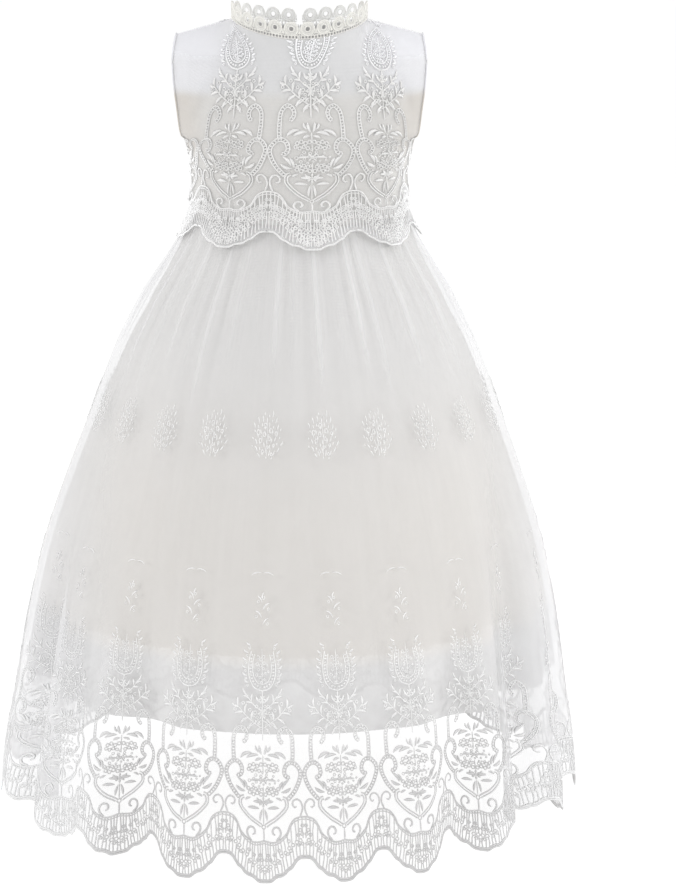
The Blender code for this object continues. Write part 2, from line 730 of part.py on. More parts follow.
def build():
    clear_scene()
    satin = material("ivory_satin", (0.86, 0.84, 0.80), 0.45)
    lace = material("white_lace", (0.93, 0.93, 0.92), 0.75)
    net = material("white_net", (0.94, 0.94, 0.94), 0.80)
    pearl = material("pearl_button", (0.93, 0.91, 0.87), 0.22)

    bodice_panel("bodice_front", -1, 1, satin)
    bodice_panel("bodice_back_left", 1, 1, satin)
    bodice_panel("bodice_back_right", 1, -1, satin)
    lace_top_panel("lace_top_front", -1, 1, lace)
    lace_top_panel("lace_top_back_left", 1, 1, lace)
    lace_top_panel("lace_top_back_right", 1, -1, lace)

    back_rings = RING_COUNT // 4
    trim_strip("neck_trim_back_left", 0, back_rings - 1, lace)
    trim_strip("neck_trim_front", back_rings, RING_COUNT - back_rings - 1, lace)
    trim_strip("neck_trim_back_right", RING_COUNT - back_rings, RING_COUNT - 1, lace)

    lace_levels = (SKIRT_TOP_Z, *SKIRT_LEVELS, None)
    net_levels = (SKIRT_TOP_Z, *NET_LEVELS, None)
    lining_levels = (SKIRT_TOP_Z, *LINING_LEVELS, None)
    for place, facing in (("front", -1), ("back", 1)):
        skirt_panel(f"skirt_lace_{place}", lace_levels, SKIRT_STEPS, facing, lace_layer, lace)
        skirt_panel(f"skirt_net_{place}", net_levels, INNER_STEPS, facing, net_layer, net)
        skirt_panel(f"skirt_lining_{place}", lining_levels, INNER_STEPS, facing, lining_layer, satin)

    button(pearl)
    button_loop(lace)


build()
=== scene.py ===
"""A sleeveless christening gown in white lace, filled out as if worn, with nobody in it.

The cloth is thin: a satin bodice and skirt lining, sheer net over both, and raised embroidery on the
net. Metres, +Z up, the front faces -Y, and +X is the wearer's left. A turn counts round the gown from
the centre front towards the wearer's left, and every grid of cloth runs from its hem up and with the turn.
"""

import logging
import math
from collections.abc import Callable, Iterable, Sequence
from dataclasses import dataclass, field
from enum import Enum
from typing import ClassVar

import bpy
import numpy as np
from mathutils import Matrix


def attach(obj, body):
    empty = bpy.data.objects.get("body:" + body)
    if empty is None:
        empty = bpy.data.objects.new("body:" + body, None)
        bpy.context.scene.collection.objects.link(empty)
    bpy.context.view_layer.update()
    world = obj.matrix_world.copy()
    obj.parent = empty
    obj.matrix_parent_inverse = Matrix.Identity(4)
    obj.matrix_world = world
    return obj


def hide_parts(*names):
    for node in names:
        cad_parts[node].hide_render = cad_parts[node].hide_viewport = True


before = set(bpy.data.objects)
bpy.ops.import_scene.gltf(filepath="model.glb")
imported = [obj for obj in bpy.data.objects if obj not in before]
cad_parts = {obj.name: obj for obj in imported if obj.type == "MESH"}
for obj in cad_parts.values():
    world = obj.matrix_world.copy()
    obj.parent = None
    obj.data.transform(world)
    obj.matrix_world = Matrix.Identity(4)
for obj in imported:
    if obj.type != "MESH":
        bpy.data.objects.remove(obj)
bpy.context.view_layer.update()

Array = np.ndarray
Point = tuple[float, float]
LOG = logging.getLogger("gown")
MM = 0.001
GOLDEN_ANGLE = 2.39996


# ================================================================ curves and numbers
def smooth_step(value: Array | float) -> Array:
    """Goes from 0 to 1 with a level start and end."""
    value = np.clip(value, 0.0, 1.0)
    return value * value * (3 - 2 * value)


def hump(distance: Array, reach: Array | float) -> Array:
    """1 at the middle, 0 at the reach and past it, with a soft top and foot."""
    inside = np.abs(distance) < reach
    return np.where(inside, np.cos(0.5 * np.pi * distance / reach) ** 2, 0.0)


def unit(vectors: Array) -> Array:
    """Vectors of length 1 along the given ones."""
    return vectors / np.maximum(np.linalg.norm(vectors, axis=-1, keepdims=True), 1e-12)


def cubic(before: Array, start: Array, end: Array, after: Array, share: Array) -> Array:
    """A Catmull-Rom curve's points.

    Args:
        before: The points before the stretch.
        start: The points where it starts.
        end: The points where it ends.
        after: The points after it.
        share: How far along the stretch each point lies, 0 to 1.

    Returns:
        The points on the curve.
    """
    bend = 2 * before - 5 * start + 4 * end - after
    return start + 0.5 * share * (
        (end - before) + share * (bend + share * (3 * (start - end) + after - before))
    )


def along(points: Sequence, place: Array | float) -> Array:
    """Points on the smooth curve through a table's rows.

    Args:
        points: The rows, each a number or a point.
        place: Where on the curve, counted in rows.

    Returns:
        The curve's value at each place.
    """
    table = np.asarray(points, float)
    place = np.asarray(place, float)
    padded = np.concatenate([2 * table[:1] - table[1:2], table, 2 * table[-1:] - table[-2:-1]])
    index = np.clip(place.astype(int), 0, len(table) - 2)
    share = place - index
    if table.ndim > 1:
        share = share[..., None]
    return cubic(*(padded[index + i] for i in range(4)), share)


def evenly(points: Sequence[Point], step: float) -> Array:
    """A smooth line through points, as points that lie evenly along it.

    Args:
        points: The line's own points.
        step: About how far apart the new points lie.

    Returns:
        The new points, the first and the last among them.
    """
    fine = along(points, np.linspace(0, len(points) - 1, 24 * (len(points) - 1) + 1))
    lengths = np.concatenate([[0.0], np.cumsum(np.linalg.norm(np.diff(fine, axis=0), axis=1))])
    count = max(int(round(lengths[-1] / step)), 1)
    at = np.linspace(0, lengths[-1], count + 1)
    return np.stack([np.interp(at, lengths, fine[:, i]) for i in range(fine.shape[1])], axis=1)


def cycled(table: Sequence, index: int) -> float:
    """An entry of a table that starts again after its last one."""
    return table[index % len(table)]


# the scalloped edge's height from a scallop's low point to the cusp beside it, in even steps
SCALLOP_EDGE = (0.0, 0.005, 0.03, 0.15, 0.22, 0.245, 0.33, 0.48, 0.56, 0.76, 0.91, 0.96, 0.97)


def scallop_height(share: Array) -> Array:
    """The scalloped edge's height, 0 to 1, at shares of the way from a low point to a cusp."""
    return along(SCALLOP_EDGE, share * (len(SCALLOP_EDGE) - 1))


# ================================================================ meshes
def grid_faces(rows: int, columns: int, first: int = 0) -> Array:
    """The four-cornered faces of a grid of points.

    Args:
        rows: How many rows of points there are.
        columns: How many points a row has.
        first: The index of the first point.

    Returns:
        One row a face, which turns outwards on a grid that runs up and with the turn.
    """
    corner = first + (np.arange(rows - 1)[:, None] * columns + np.arange(columns - 1)[None]).ravel()
    return np.stack([corner, corner + 1, corner + columns + 1, corner + columns], axis=1)


def add_piece(name: str, mesh: bpy.types.Mesh, material: bpy.types.Material | None) -> bpy.types.Object:
    """Makes a mesh an object of the scene.

    Args:
        name: The piece's name.
        mesh: Its mesh, with the place in it.
        material: Its finish.

    Returns:
        The new object.
    """
    obj = bpy.data.objects.new(name, mesh)
    bpy.context.scene.collection.objects.link(obj)
    if material is not None:
        mesh.materials.clear()
        mesh.materials.append(material)
    return obj


def cloth_mesh(
    name: str, grids: Sequence[Array], flat: Array, faces: Array, folds: Array | None = None
) -> bpy.types.Mesh:
    """A smooth mesh of one or more grids of points, with the flat cloth as its UV map.

    Args:
        name: The mesh's name.
        grids: The grids, each rows by columns by 3.
        flat: The place of each point of a grid on the flat cloth, rows by columns by 2.
        faces: The faces, by the points' indices.
        folds: How tightly the cloth is folded at each point, 0 to 1.

    Returns:
        The mesh.
    """
    mesh = bpy.data.meshes.new(name)
    points = np.concatenate([grid.reshape(-1, 3) for grid in grids])
    mesh.from_pydata(points.tolist(), [], faces.tolist())
    laid = np.concatenate([flat.reshape(-1, 2)] * len(grids)).astype(np.float32)
    corners = np.empty(len(mesh.loops), np.int32)
    mesh.loops.foreach_get("vertex_index", corners)
    mesh.uv_layers.new(name="flat").uv.foreach_set("vector", laid[corners].ravel())
    if folds is not None:
        mesh.attributes.new("fold", "FLOAT", "POINT").data.foreach_set("value", folds.astype(np.float32).ravel())
    mesh.shade_smooth()
    return mesh


def sheet_mesh(name: str, points: Array, flat: Array, folds: Array | None = None) -> bpy.types.Mesh:
    """A single layer of cloth."""
    return cloth_mesh(name, [points], flat, grid_faces(*points.shape[:2]), folds)


def wall_mesh(name: str, inner: Array, outer: Array, flat: Array) -> bpy.types.Mesh:
    """A closed wall of cloth between two grids of points.

    Args:
        name: The mesh's name.
        inner: The inner face's points, rows by columns by 3.
        outer: The outer face's.
        flat: Their place on the flat cloth.

    Returns:
        The mesh, closed all round and facing outwards.
    """
    rows, columns = inner.shape[:2]
    inside = np.arange(rows * columns).reshape(rows, columns)
    outside = inside + rows * columns
    faces = [grid_faces(rows, columns)[:, ::-1], grid_faces(rows, columns, rows * columns)]
    rims = (
        (inside[0], outside[0]),
        (outside[-1], inside[-1]),
        (outside[:, 0], inside[:, 0]),
        (inside[:, -1], outside[:, -1]),
    )
    for low, high in rims:
        faces.append(np.stack([low[:-1], low[1:], high[1:], high[:-1]], axis=1))
    mesh = cloth_mesh(name, [inner, outer], flat, np.concatenate(faces))
    mesh.set_sharp_from_angle(angle=math.radians(50))
    return mesh


def tube_mesh(name: str, path: Array, half: Array | float, sides: int, closed: bool = False) -> bpy.types.Mesh:
    """A round thread along a path, with closed ends.

    Args:
        name: The mesh's name.
        path: The middle line's points.
        half: Half the thread's width, at each point or all along.
        sides: How many sides it has.
        closed: Whether the path ends where it starts.

    Returns:
        The mesh.
    """
    count = len(path)
    ahead = np.roll(path, -1, axis=0) - np.roll(path, 1, axis=0)
    if not closed:
        ahead[0], ahead[-1] = path[1] - path[0], path[-1] - path[-2]
    ahead = unit(ahead)
    across = unit(np.cross(ahead, np.where(np.abs(ahead[:, 2:]) > 0.9, [[0, 1.0, 0]], [[0, 0, 1.0]])))
    over = np.cross(ahead, across)
    angles = 2 * np.pi * np.arange(sides) / sides
    wide = np.broadcast_to(np.asarray(half, float), (count,))[:, None, None]
    spokes = across[:, None] * np.cos(angles)[None, :, None] + over[:, None] * np.sin(angles)[None, :, None]
    points = (path[:, None] + wide * spokes).reshape(-1, 3)
    ring = np.arange(count * sides).reshape(count, sides)
    low = ring if closed else ring[:-1]
    high = np.roll(ring, -1, axis=0) if closed else ring[1:]
    faces = np.stack([low, np.roll(low, -1, axis=1), np.roll(high, -1, axis=1), high], axis=-1)
    polygons = faces.reshape(-1, 4).tolist()
    if not closed:
        polygons += [ring[0][::-1].tolist(), ring[-1].tolist()]
    mesh = bpy.data.meshes.new(name)
    mesh.from_pydata(points.tolist(), [], polygons)
    mesh.shade_smooth()
    return mesh


# ================================================================ nodes
class Signal:
    """A socket's value. Arithmetic on it adds Math nodes to its tree."""

    def __init__(self, sheet: "NodeSheet", socket: bpy.types.NodeSocket) -> None:
        """Wraps a socket of a tree."""
        self.sheet = sheet
        self.socket = socket

    def math(self, operation: str, *values: "Signal | float") -> "Signal":
        """Adds one Math node on this value and others."""
        sockets = dict(enumerate((self, *values)))
        return self.sheet.signal("ShaderNodeMath", {"operation": operation}, sockets)

    def __add__(self, other: "Signal | float") -> "Signal":
        """The sum."""
        return self.math("ADD", other)

    def __sub__(self, other: "Signal | float") -> "Signal":
        """The difference."""
        return self.math("SUBTRACT", other)

    def __rsub__(self, other: float) -> "Signal":
        """The difference from a number."""
        return self * -1.0 + other

    def __mul__(self, other: "Signal | float") -> "Signal":
        """The product."""
        return self.math("MULTIPLY", other)

    def __truediv__(self, other: "Signal | float") -> "Signal":
        """The quotient."""
        return self.math("DIVIDE", other)


class NodeSheet:
    """Adds nodes and links to one tree."""

    def __init__(self, tree: bpy.types.NodeTree) -> None:
        """Takes the tree to fill."""
        self.tree = tree

    def node(
        self, kind: str, settings: dict | None = None, values: dict | None = None
    ) -> bpy.types.Node:
        """Adds one node.

        Args:
            kind: The node's type.
            settings: Its own settings, set before its sockets.
            values: Its sockets' values or links, by name or index.

        Returns:
            The node.
        """
        made = self.tree.nodes.new(kind)
        for name, value in (settings or {}).items():
            setattr(made, name, value)
        for name, value in (values or {}).items():
            if isinstance(value, Signal):
                self.tree.links.new(value.socket, made.inputs[name])
            else:
                made.inputs[name].default_value = value
        return made

    def signal(
        self, kind: str, settings: dict | None = None, values: dict | None = None, output: int | str = 0
    ) -> Signal:
        """Adds one node and gives one of its outputs."""
        return Signal(self, self.node(kind, settings, values).outputs[output])

    def mix(self, share: Signal | float, low: Signal | Sequence[float], high: Signal | Sequence[float]) -> Signal:
        """Mixes two colours.

        Args:
            share: 0 for the first colour and 1 for the second.
            low: The first colour.
            high: The second colour.

        Returns:
            The mixed colour.
        """
        sockets = {0: share, 6: low, 7: high}
        return self.signal("ShaderNodeMix", {"data_type": "RGBA"}, sockets, 2)


Colour = tuple[float, float, float]


def rgba(colour: Colour) -> tuple[float, float, float, float]:
    """A colour with its alpha."""
    return (*colour, 1.0)


def new_material(name: str, values: dict) -> tuple[bpy.types.Material, bpy.types.Node]:
    """Makes a material.

    Args:
        name: Its name.
        values: The fixed inputs of its shader, by name.

    Returns:
        The material and its shader.
    """
    made = bpy.data.materials.new(name)
    made.use_nodes = True
    shader = made.node_tree.nodes["Principled BSDF"]
    for label, value in values.items():
        shader.inputs[label].default_value = value
    return made, shader


# ================================================================ finishes
class Weave(Enum):
    """What a finish's surface is made of."""

    SATIN = "satin"
    NET = "net"
    THREAD = "thread"
    PEARL = "pearl"


@dataclass(frozen=True)
class Tint:
    """A colour that takes over between two levels of a coordinate, above or below a height if it has one."""

    colour: Colour
    axis: int
    start: float
    end: float
    above: float | None = None
    below: float | None = None


@dataclass(frozen=True)
class Finish:
    """How one material of the gown looks. Lengths are in metres."""

    name: str
    weave: Weave
    colour: Colour
    shade: Colour
    roughness: float
    sheen: float = 0.0
    sheen_roughness: float = 0.45
    gloss: float = 0.25
    cover: float = 1.0
    crowded_cover: float = 0.0
    crowded_levels: Point = (-0.40, -0.17)
    fold_cover: float = 0.0
    side_cover: float = 0.0
    side_levels: Point = (0.13, 0.215)
    streaks: float = 0.0
    pitch: float = 0.0008
    relief: float = 0.2
    tints: tuple[Tint, ...] = ()

    def material(self) -> bpy.types.Material:
        """Builds the material.

        Returns:
            The material.
        """
        fixed = {
            "Sheen Weight": self.sheen, "Sheen Roughness": self.sheen_roughness, "Specular IOR Level": self.gloss,
        }
        made, shader = new_material(self.name, fixed)
        for name, signal in Shading(self, NodeSheet(made.node_tree)).inputs().items():
            made.node_tree.links.new(signal.socket, shader.inputs[name])
        return made


class Shading:
    """Builds the nodes of one finish."""

    def __init__(self, finish: Finish, sheet: NodeSheet) -> None:
        """Takes the finish and the tree to fill.

        Args:
            finish: The finish.
            sheet: Its tree.
        """
        self.finish = finish
        self.sheet = sheet
        self.at = sheet.signal("ShaderNodeTexCoord", output="Object")

    def inputs(self) -> dict[str, Signal]:
        """What the finish's weave feeds its shader, by the input's name."""
        weaves = {Weave.SATIN: self._satin, Weave.NET: self._net, Weave.THREAD: self._thread, Weave.PEARL: self._pearl}
        return weaves[self.finish.weave]()

    def _patches(self, scale: float, at: Signal | None = None) -> Signal:
        """Soft uneven patches, 0 to 1."""
        return self.sheet.signal("ShaderNodeTexNoise", {}, {"Vector": at or self.at, "Scale": scale, "Detail": 3.0})

    def _flat(self, scale: tuple[float, float, float] | None = None) -> Signal:
        """The place on the flat cloth, stretched if there is a scale."""
        flat = self.sheet.signal("ShaderNodeUVMap", {"uv_map": "flat"})
        return flat if scale is None else self.sheet.signal("ShaderNodeMapping", {}, {"Vector": flat, "Scale": scale})

    def _level(self, axis: int, start: float, end: float) -> Signal:
        """Goes from 0 to 1 between two levels of a coordinate.

        Args:
            axis: 0 for x, which counts outwards on both sides, 1 for y and 2 for z.
            start: The level up to which it is 0.
            end: The level from which it is 1.

        Returns:
            The share.
        """
        value = self.sheet.signal("ShaderNodeSeparateXYZ", {}, {0: self.at}, axis)
        if axis == 0:
            value = value.math("ABSOLUTE")
        sockets = {"Value": value, "From Min": start, "From Max": end}
        return self.sheet.signal("ShaderNodeMapRange", {"interpolation_type": "SMOOTHSTEP"}, sockets)

    def _tinted(self, uneven: Signal) -> Signal:
        """The finish's colour with its tints.

        Args:
            uneven: 1 where the colour is full and 0 where it is the shade.

        Returns:
            The colour.
        """
        colour = self.sheet.mix(uneven, rgba(self.finish.shade), rgba(self.finish.colour))
        for tint in self.finish.tints:
            share = self._level(tint.axis, tint.start, tint.end)
            for height, fade in ((tint.above, 0.012), (tint.below, -0.012)):
                if height is not None:
                    share = share * self._level(2, height, height + fade)
            colour = self.sheet.mix(share, colour, rgba(tint.colour))
        return colour

    def _surface(self, uneven: Signal, rough: Signal, spread: float, relief: Signal, depth: float) -> dict[str, Signal]:
        """What every weave feeds its shader.

        Args:
            uneven: 1 where the colour is full and 0 where it is the shade.
            rough: 1 where the surface is roughest and 0 where it is smoothest.
            spread: How far its roughness varies.
            relief: The height of its relief.
            depth: The relief's depth in metres.

        Returns:
            The signals, by the input's name.
        """
        sockets = {"Height": relief, "Strength": self.finish.relief, "Distance": depth}
        return {
            "Base Color": self._tinted(uneven),
            "Roughness": rough * spread + (self.finish.roughness - spread / 2),
            "Normal": self.sheet.signal("ShaderNodeBump", {}, sockets),
        }

    def _satin(self) -> dict[str, Signal]:
        """A close weave with a soft gleam and a slightly uneven colour.

        Returns:
            The signals, by the input's name.
        """
        patches, fine = self._patches(9.0), self._patches(60.0)
        weave = self._patches(1.0 / self.finish.pitch, self._flat((1.0, 0.12, 1.0)))
        return self._surface(patches * 0.7 + fine * 0.3, fine, 0.12, weave * 0.5 + patches * 2.0, 0.00012)

    def _net(self) -> dict[str, Signal]:
        """A fine six-sided net, denser where it is crowded, folded or seen from the side.

        Returns:
            The signals, by the input's name.
        """
        finish = self.finish
        settings = {"feature": "DISTANCE_TO_EDGE", "voronoi_dimensions": "2D"}
        sockets = {"Vector": self._flat(), "Scale": 1.0 / finish.pitch, "Randomness": 0.35}
        edge = self.sheet.signal("ShaderNodeTexVoronoi", settings, sockets)
        threads = 1.0 - (edge * 5.0).math("MINIMUM", 1.0)
        uneven = self._patches(30.0)
        streaks = self._patches(1.0, self._flat((75.0, 2.6, 1.0))) - 0.5
        folds = self.sheet.signal("ShaderNodeAttribute", {"attribute_name": "fold"}, output="Fac")
        cover = (threads - 0.35) * 0.05 + (uneven - 0.5) * 0.05 + finish.cover
        for share, more in (
            (self._level(2, *finish.crowded_levels), finish.crowded_cover), (folds, finish.fold_cover),
            (streaks, finish.streaks), (self._level(0, *finish.side_levels), finish.side_cover),
        ):
            cover = cover + share * more
        return {**self._surface(uneven, uneven, 0.1, threads, 0.00006), "Alpha": cover}

    def _thread(self) -> dict[str, Signal]:
        """Satin stitches: fine close threads with a gleam on their crowns.

        Returns:
            The signals, by the input's name.
        """
        settings = {"wave_type": "BANDS", "bands_direction": "DIAGONAL"}
        sockets = {"Vector": self.at, "Scale": 1.0 / self.finish.pitch, "Distortion": 3.0, "Detail": 1.0}
        strands = self.sheet.signal("ShaderNodeTexWave", settings, sockets, "Fac")
        uneven = self._patches(140.0)
        return self._surface(strands * 0.5 + uneven * 0.5, uneven, 0.2, strands + uneven, 0.00015)

    def _pearl(self) -> dict[str, Signal]:
        """A glossy pearly shell with faint clouds in it."""
        clouds = self._patches(420.0)
        return {**self._surface(clouds, clouds, 0.08, clouds, 0.00005), "Coat Weight": clouds * 0.3 + 0.4}


class Finishes:
    """The gown's own materials, each made once."""

    def __init__(self) -> None:
        """Makes every finish's material."""
        # the first colour is a painted highlight on the yoke, which faces up to the light; the second is a painted warm
        # shade at the sides under the arms
        yoke_painted_light, underarm_painted_shade = (0.645, 0.645, 0.65), (0.57, 0.53, 0.48)
        self.bodice = Finish(
            "ivory_satin", Weave.SATIN, (0.625, 0.61, 0.585), (0.605, 0.59, 0.565), 0.46, sheen=0.2, pitch=0.0006,
            tints=(
                # painted warm shade at the sides under the arms, and a painted highlight across the yoke
                Tint(underarm_painted_shade, 0, 0.074, 0.098, above=-0.116), Tint(yoke_painted_light, 2, -0.062, -0.050),
                # painted highlight on the shoulders, lighter and cooler where they face up to the light
                Tint((0.725, 0.725, 0.75), 0, 0.045, 0.085, above=-0.062),
                # painted light on the satin's lowest band, under the hanging lace edge, where shade falls
                Tint((0.74, 0.73, 0.71), 2, -0.135, -0.165),
            ),
        ).material()
        self.lining = Finish(
            "ivory_lining", Weave.SATIN, (0.76, 0.725, 0.675), (0.735, 0.70, 0.65), 0.5, sheen=0.1, pitch=0.0007,
            tints=(Tint((0.74, 0.73, 0.715), 2, -0.42, -0.25),),
        ).material()
        self.ground = Finish(
            "lace_ground", Weave.NET, (0.74, 0.74, 0.74), (0.71, 0.71, 0.71), 0.75, sheen=0.25, cover=0.30,
            streaks=0.03, pitch=0.0011, tints=(
                # painted light: the net is lighter at the sides below the armholes, and lighter on its lowest band,
                # where the hanging edge lies in shade
                Tint((0.84, 0.84, 0.84), 0, 0.072, 0.092, below=-0.100), Tint((0.90, 0.90, 0.90), 2, -0.145, -0.168),
                # painted highlight on the net over the shoulders, which face up to the light
                Tint((0.89, 0.89, 0.91), 0, 0.035, 0.062, above=-0.034),
            ),
        ).material()
        self.lace = Finish(
            "white_lace_net", Weave.NET, (0.82, 0.82, 0.83), (0.79, 0.79, 0.80), 0.75, sheen=0.3, cover=0.17,
            crowded_cover=0.12, fold_cover=0.14, side_cover=0.36, streaks=0.10, pitch=0.0011,
        ).material()
        self.net = Finish(
            "white_net", Weave.NET, (0.65, 0.645, 0.64), (0.635, 0.63, 0.625), 0.75, sheen=0.35, cover=0.88,
            streaks=0.06, pitch=0.0010,
            tints=(Tint((0.685, 0.662, 0.63), 2, -0.512, -0.498), Tint((0.675, 0.665, 0.65), 2, -0.42, -0.25)),
        ).material()
        self.thread = Finish(
            "white_lace", Weave.THREAD, (0.85, 0.845, 0.835), (0.74, 0.735, 0.725), 0.5, sheen=0.2, gloss=0.4,
            pitch=0.0009, relief=0.6,
            tints=(
                # painted light: the threads are lighter on the bodice's lowest band, where shade falls, and lighter at
                # the sides below the armholes
                Tint((0.83, 0.825, 0.82), 2, -0.125, -0.165), Tint((0.94, 0.94, 0.94), 0, 0.072, 0.092, below=-0.100),
                # painted highlight on the threads of the yoke, offsetting the shade between them
                Tint((0.95, 0.95, 0.965), 2, -0.045, -0.022),
            ),
        ).material()
        self.trim_thread = Finish(
            "trim_lace", Weave.THREAD, (0.88, 0.87, 0.825), (0.73, 0.72, 0.68), 0.55, sheen=0.15, gloss=0.3,
            # painted light on the back of the trim, whose inner side faces away from the lamps
            pitch=0.0009, relief=0.6, tints=(Tint((0.97, 0.97, 0.95), 1, 0.0, 0.03),),
        ).material()
        self.skirt_thread = Finish(
            "skirt_lace", Weave.THREAD, (0.88, 0.88, 0.875), (0.82, 0.82, 0.815), 0.6, sheen=0.1, gloss=0.3,
            pitch=0.0009, relief=0.4,
            # painted shade: the threads grow darker towards the hem; painted light: at the sides they keep one colour
            # all the way down, lighter than the hem's painted shade, to offset the shade where folds lie on each other
            tints=(Tint((0.60, 0.595, 0.595), 2, -0.530, -0.595), Tint((0.80, 0.80, 0.80), 0, 0.145, 0.205)),
        ).material()
        self.pearl = Finish(
            "pearl_button", Weave.PEARL, (0.86, 0.84, 0.80), (0.78, 0.77, 0.79), 0.2, gloss=0.5, relief=0.15
        ).material()


# ================================================================ creases
@dataclass(frozen=True)
class Crease:
    """A soft trough in the cloth, or a ridge where its depth is below 0, along a line on the flat cloth."""

    start: Point
    end: Point
    depth: float
    reach: float
    depth_at_ends: ClassVar[float] = 0.35

    def depth_at(self, flat: Array) -> Array:
        """How far it sinks each place of the flat cloth.

        Args:
            flat: Places on the flat cloth, with 2 numbers each.

        Returns:
            The depth at each place.
        """
        way = np.subtract(self.end, self.start)
        share = (flat - self.start) @ way / (way @ way)
        nearest = np.asarray(self.start) + np.clip(share, 0.0, 1.0)[..., None] * way
        away = np.linalg.norm(flat - nearest, axis=-1)
        ends = smooth_step(1.15 - np.abs(share - 0.5) * 2)
        return self.depth * hump(away, self.reach) * (self.depth_at_ends + (1 - self.depth_at_ends) * ends)


def creased(flat: Array, creases: Iterable[Crease]) -> Array:
    """How far a set of creases sinks each place of the flat cloth."""
    return sum((crease.depth_at(flat) for crease in creases), np.zeros(flat.shape[:-1]))


# ================================================================ bodice form
@dataclass(frozen=True)
class Panel:
    """One cut panel of the bodice: its columns from one side to the other."""

    name: str
    facing: int
    share: Array
    side: Array
    turn: Array

    @classmethod
    def cut(cls, name: str, steps: int) -> "Panel":
        """Cuts the front, or one half of the back.

        Args:
            name: front, back_left or back_right.
            steps: How many columns a quarter of the body has.

        Returns:
            The panel.
        """
        first, last = {"front": (-0.25, 0.25), "back_left": (0.25, 0.5), "back_right": (0.5, 0.75)}[name]
        turn = np.linspace(first, last, round((last - first) * 4 * steps) + 1)
        if name == "front":
            return cls(name, -1, np.abs(turn) * 4, np.where(turn < 0, -1.0, 1.0), turn)
        side = 1.0 if name == "back_left" else -1.0
        return cls(name, 1, np.abs(0.5 - turn) * 4, np.full(len(turn), side), turn)


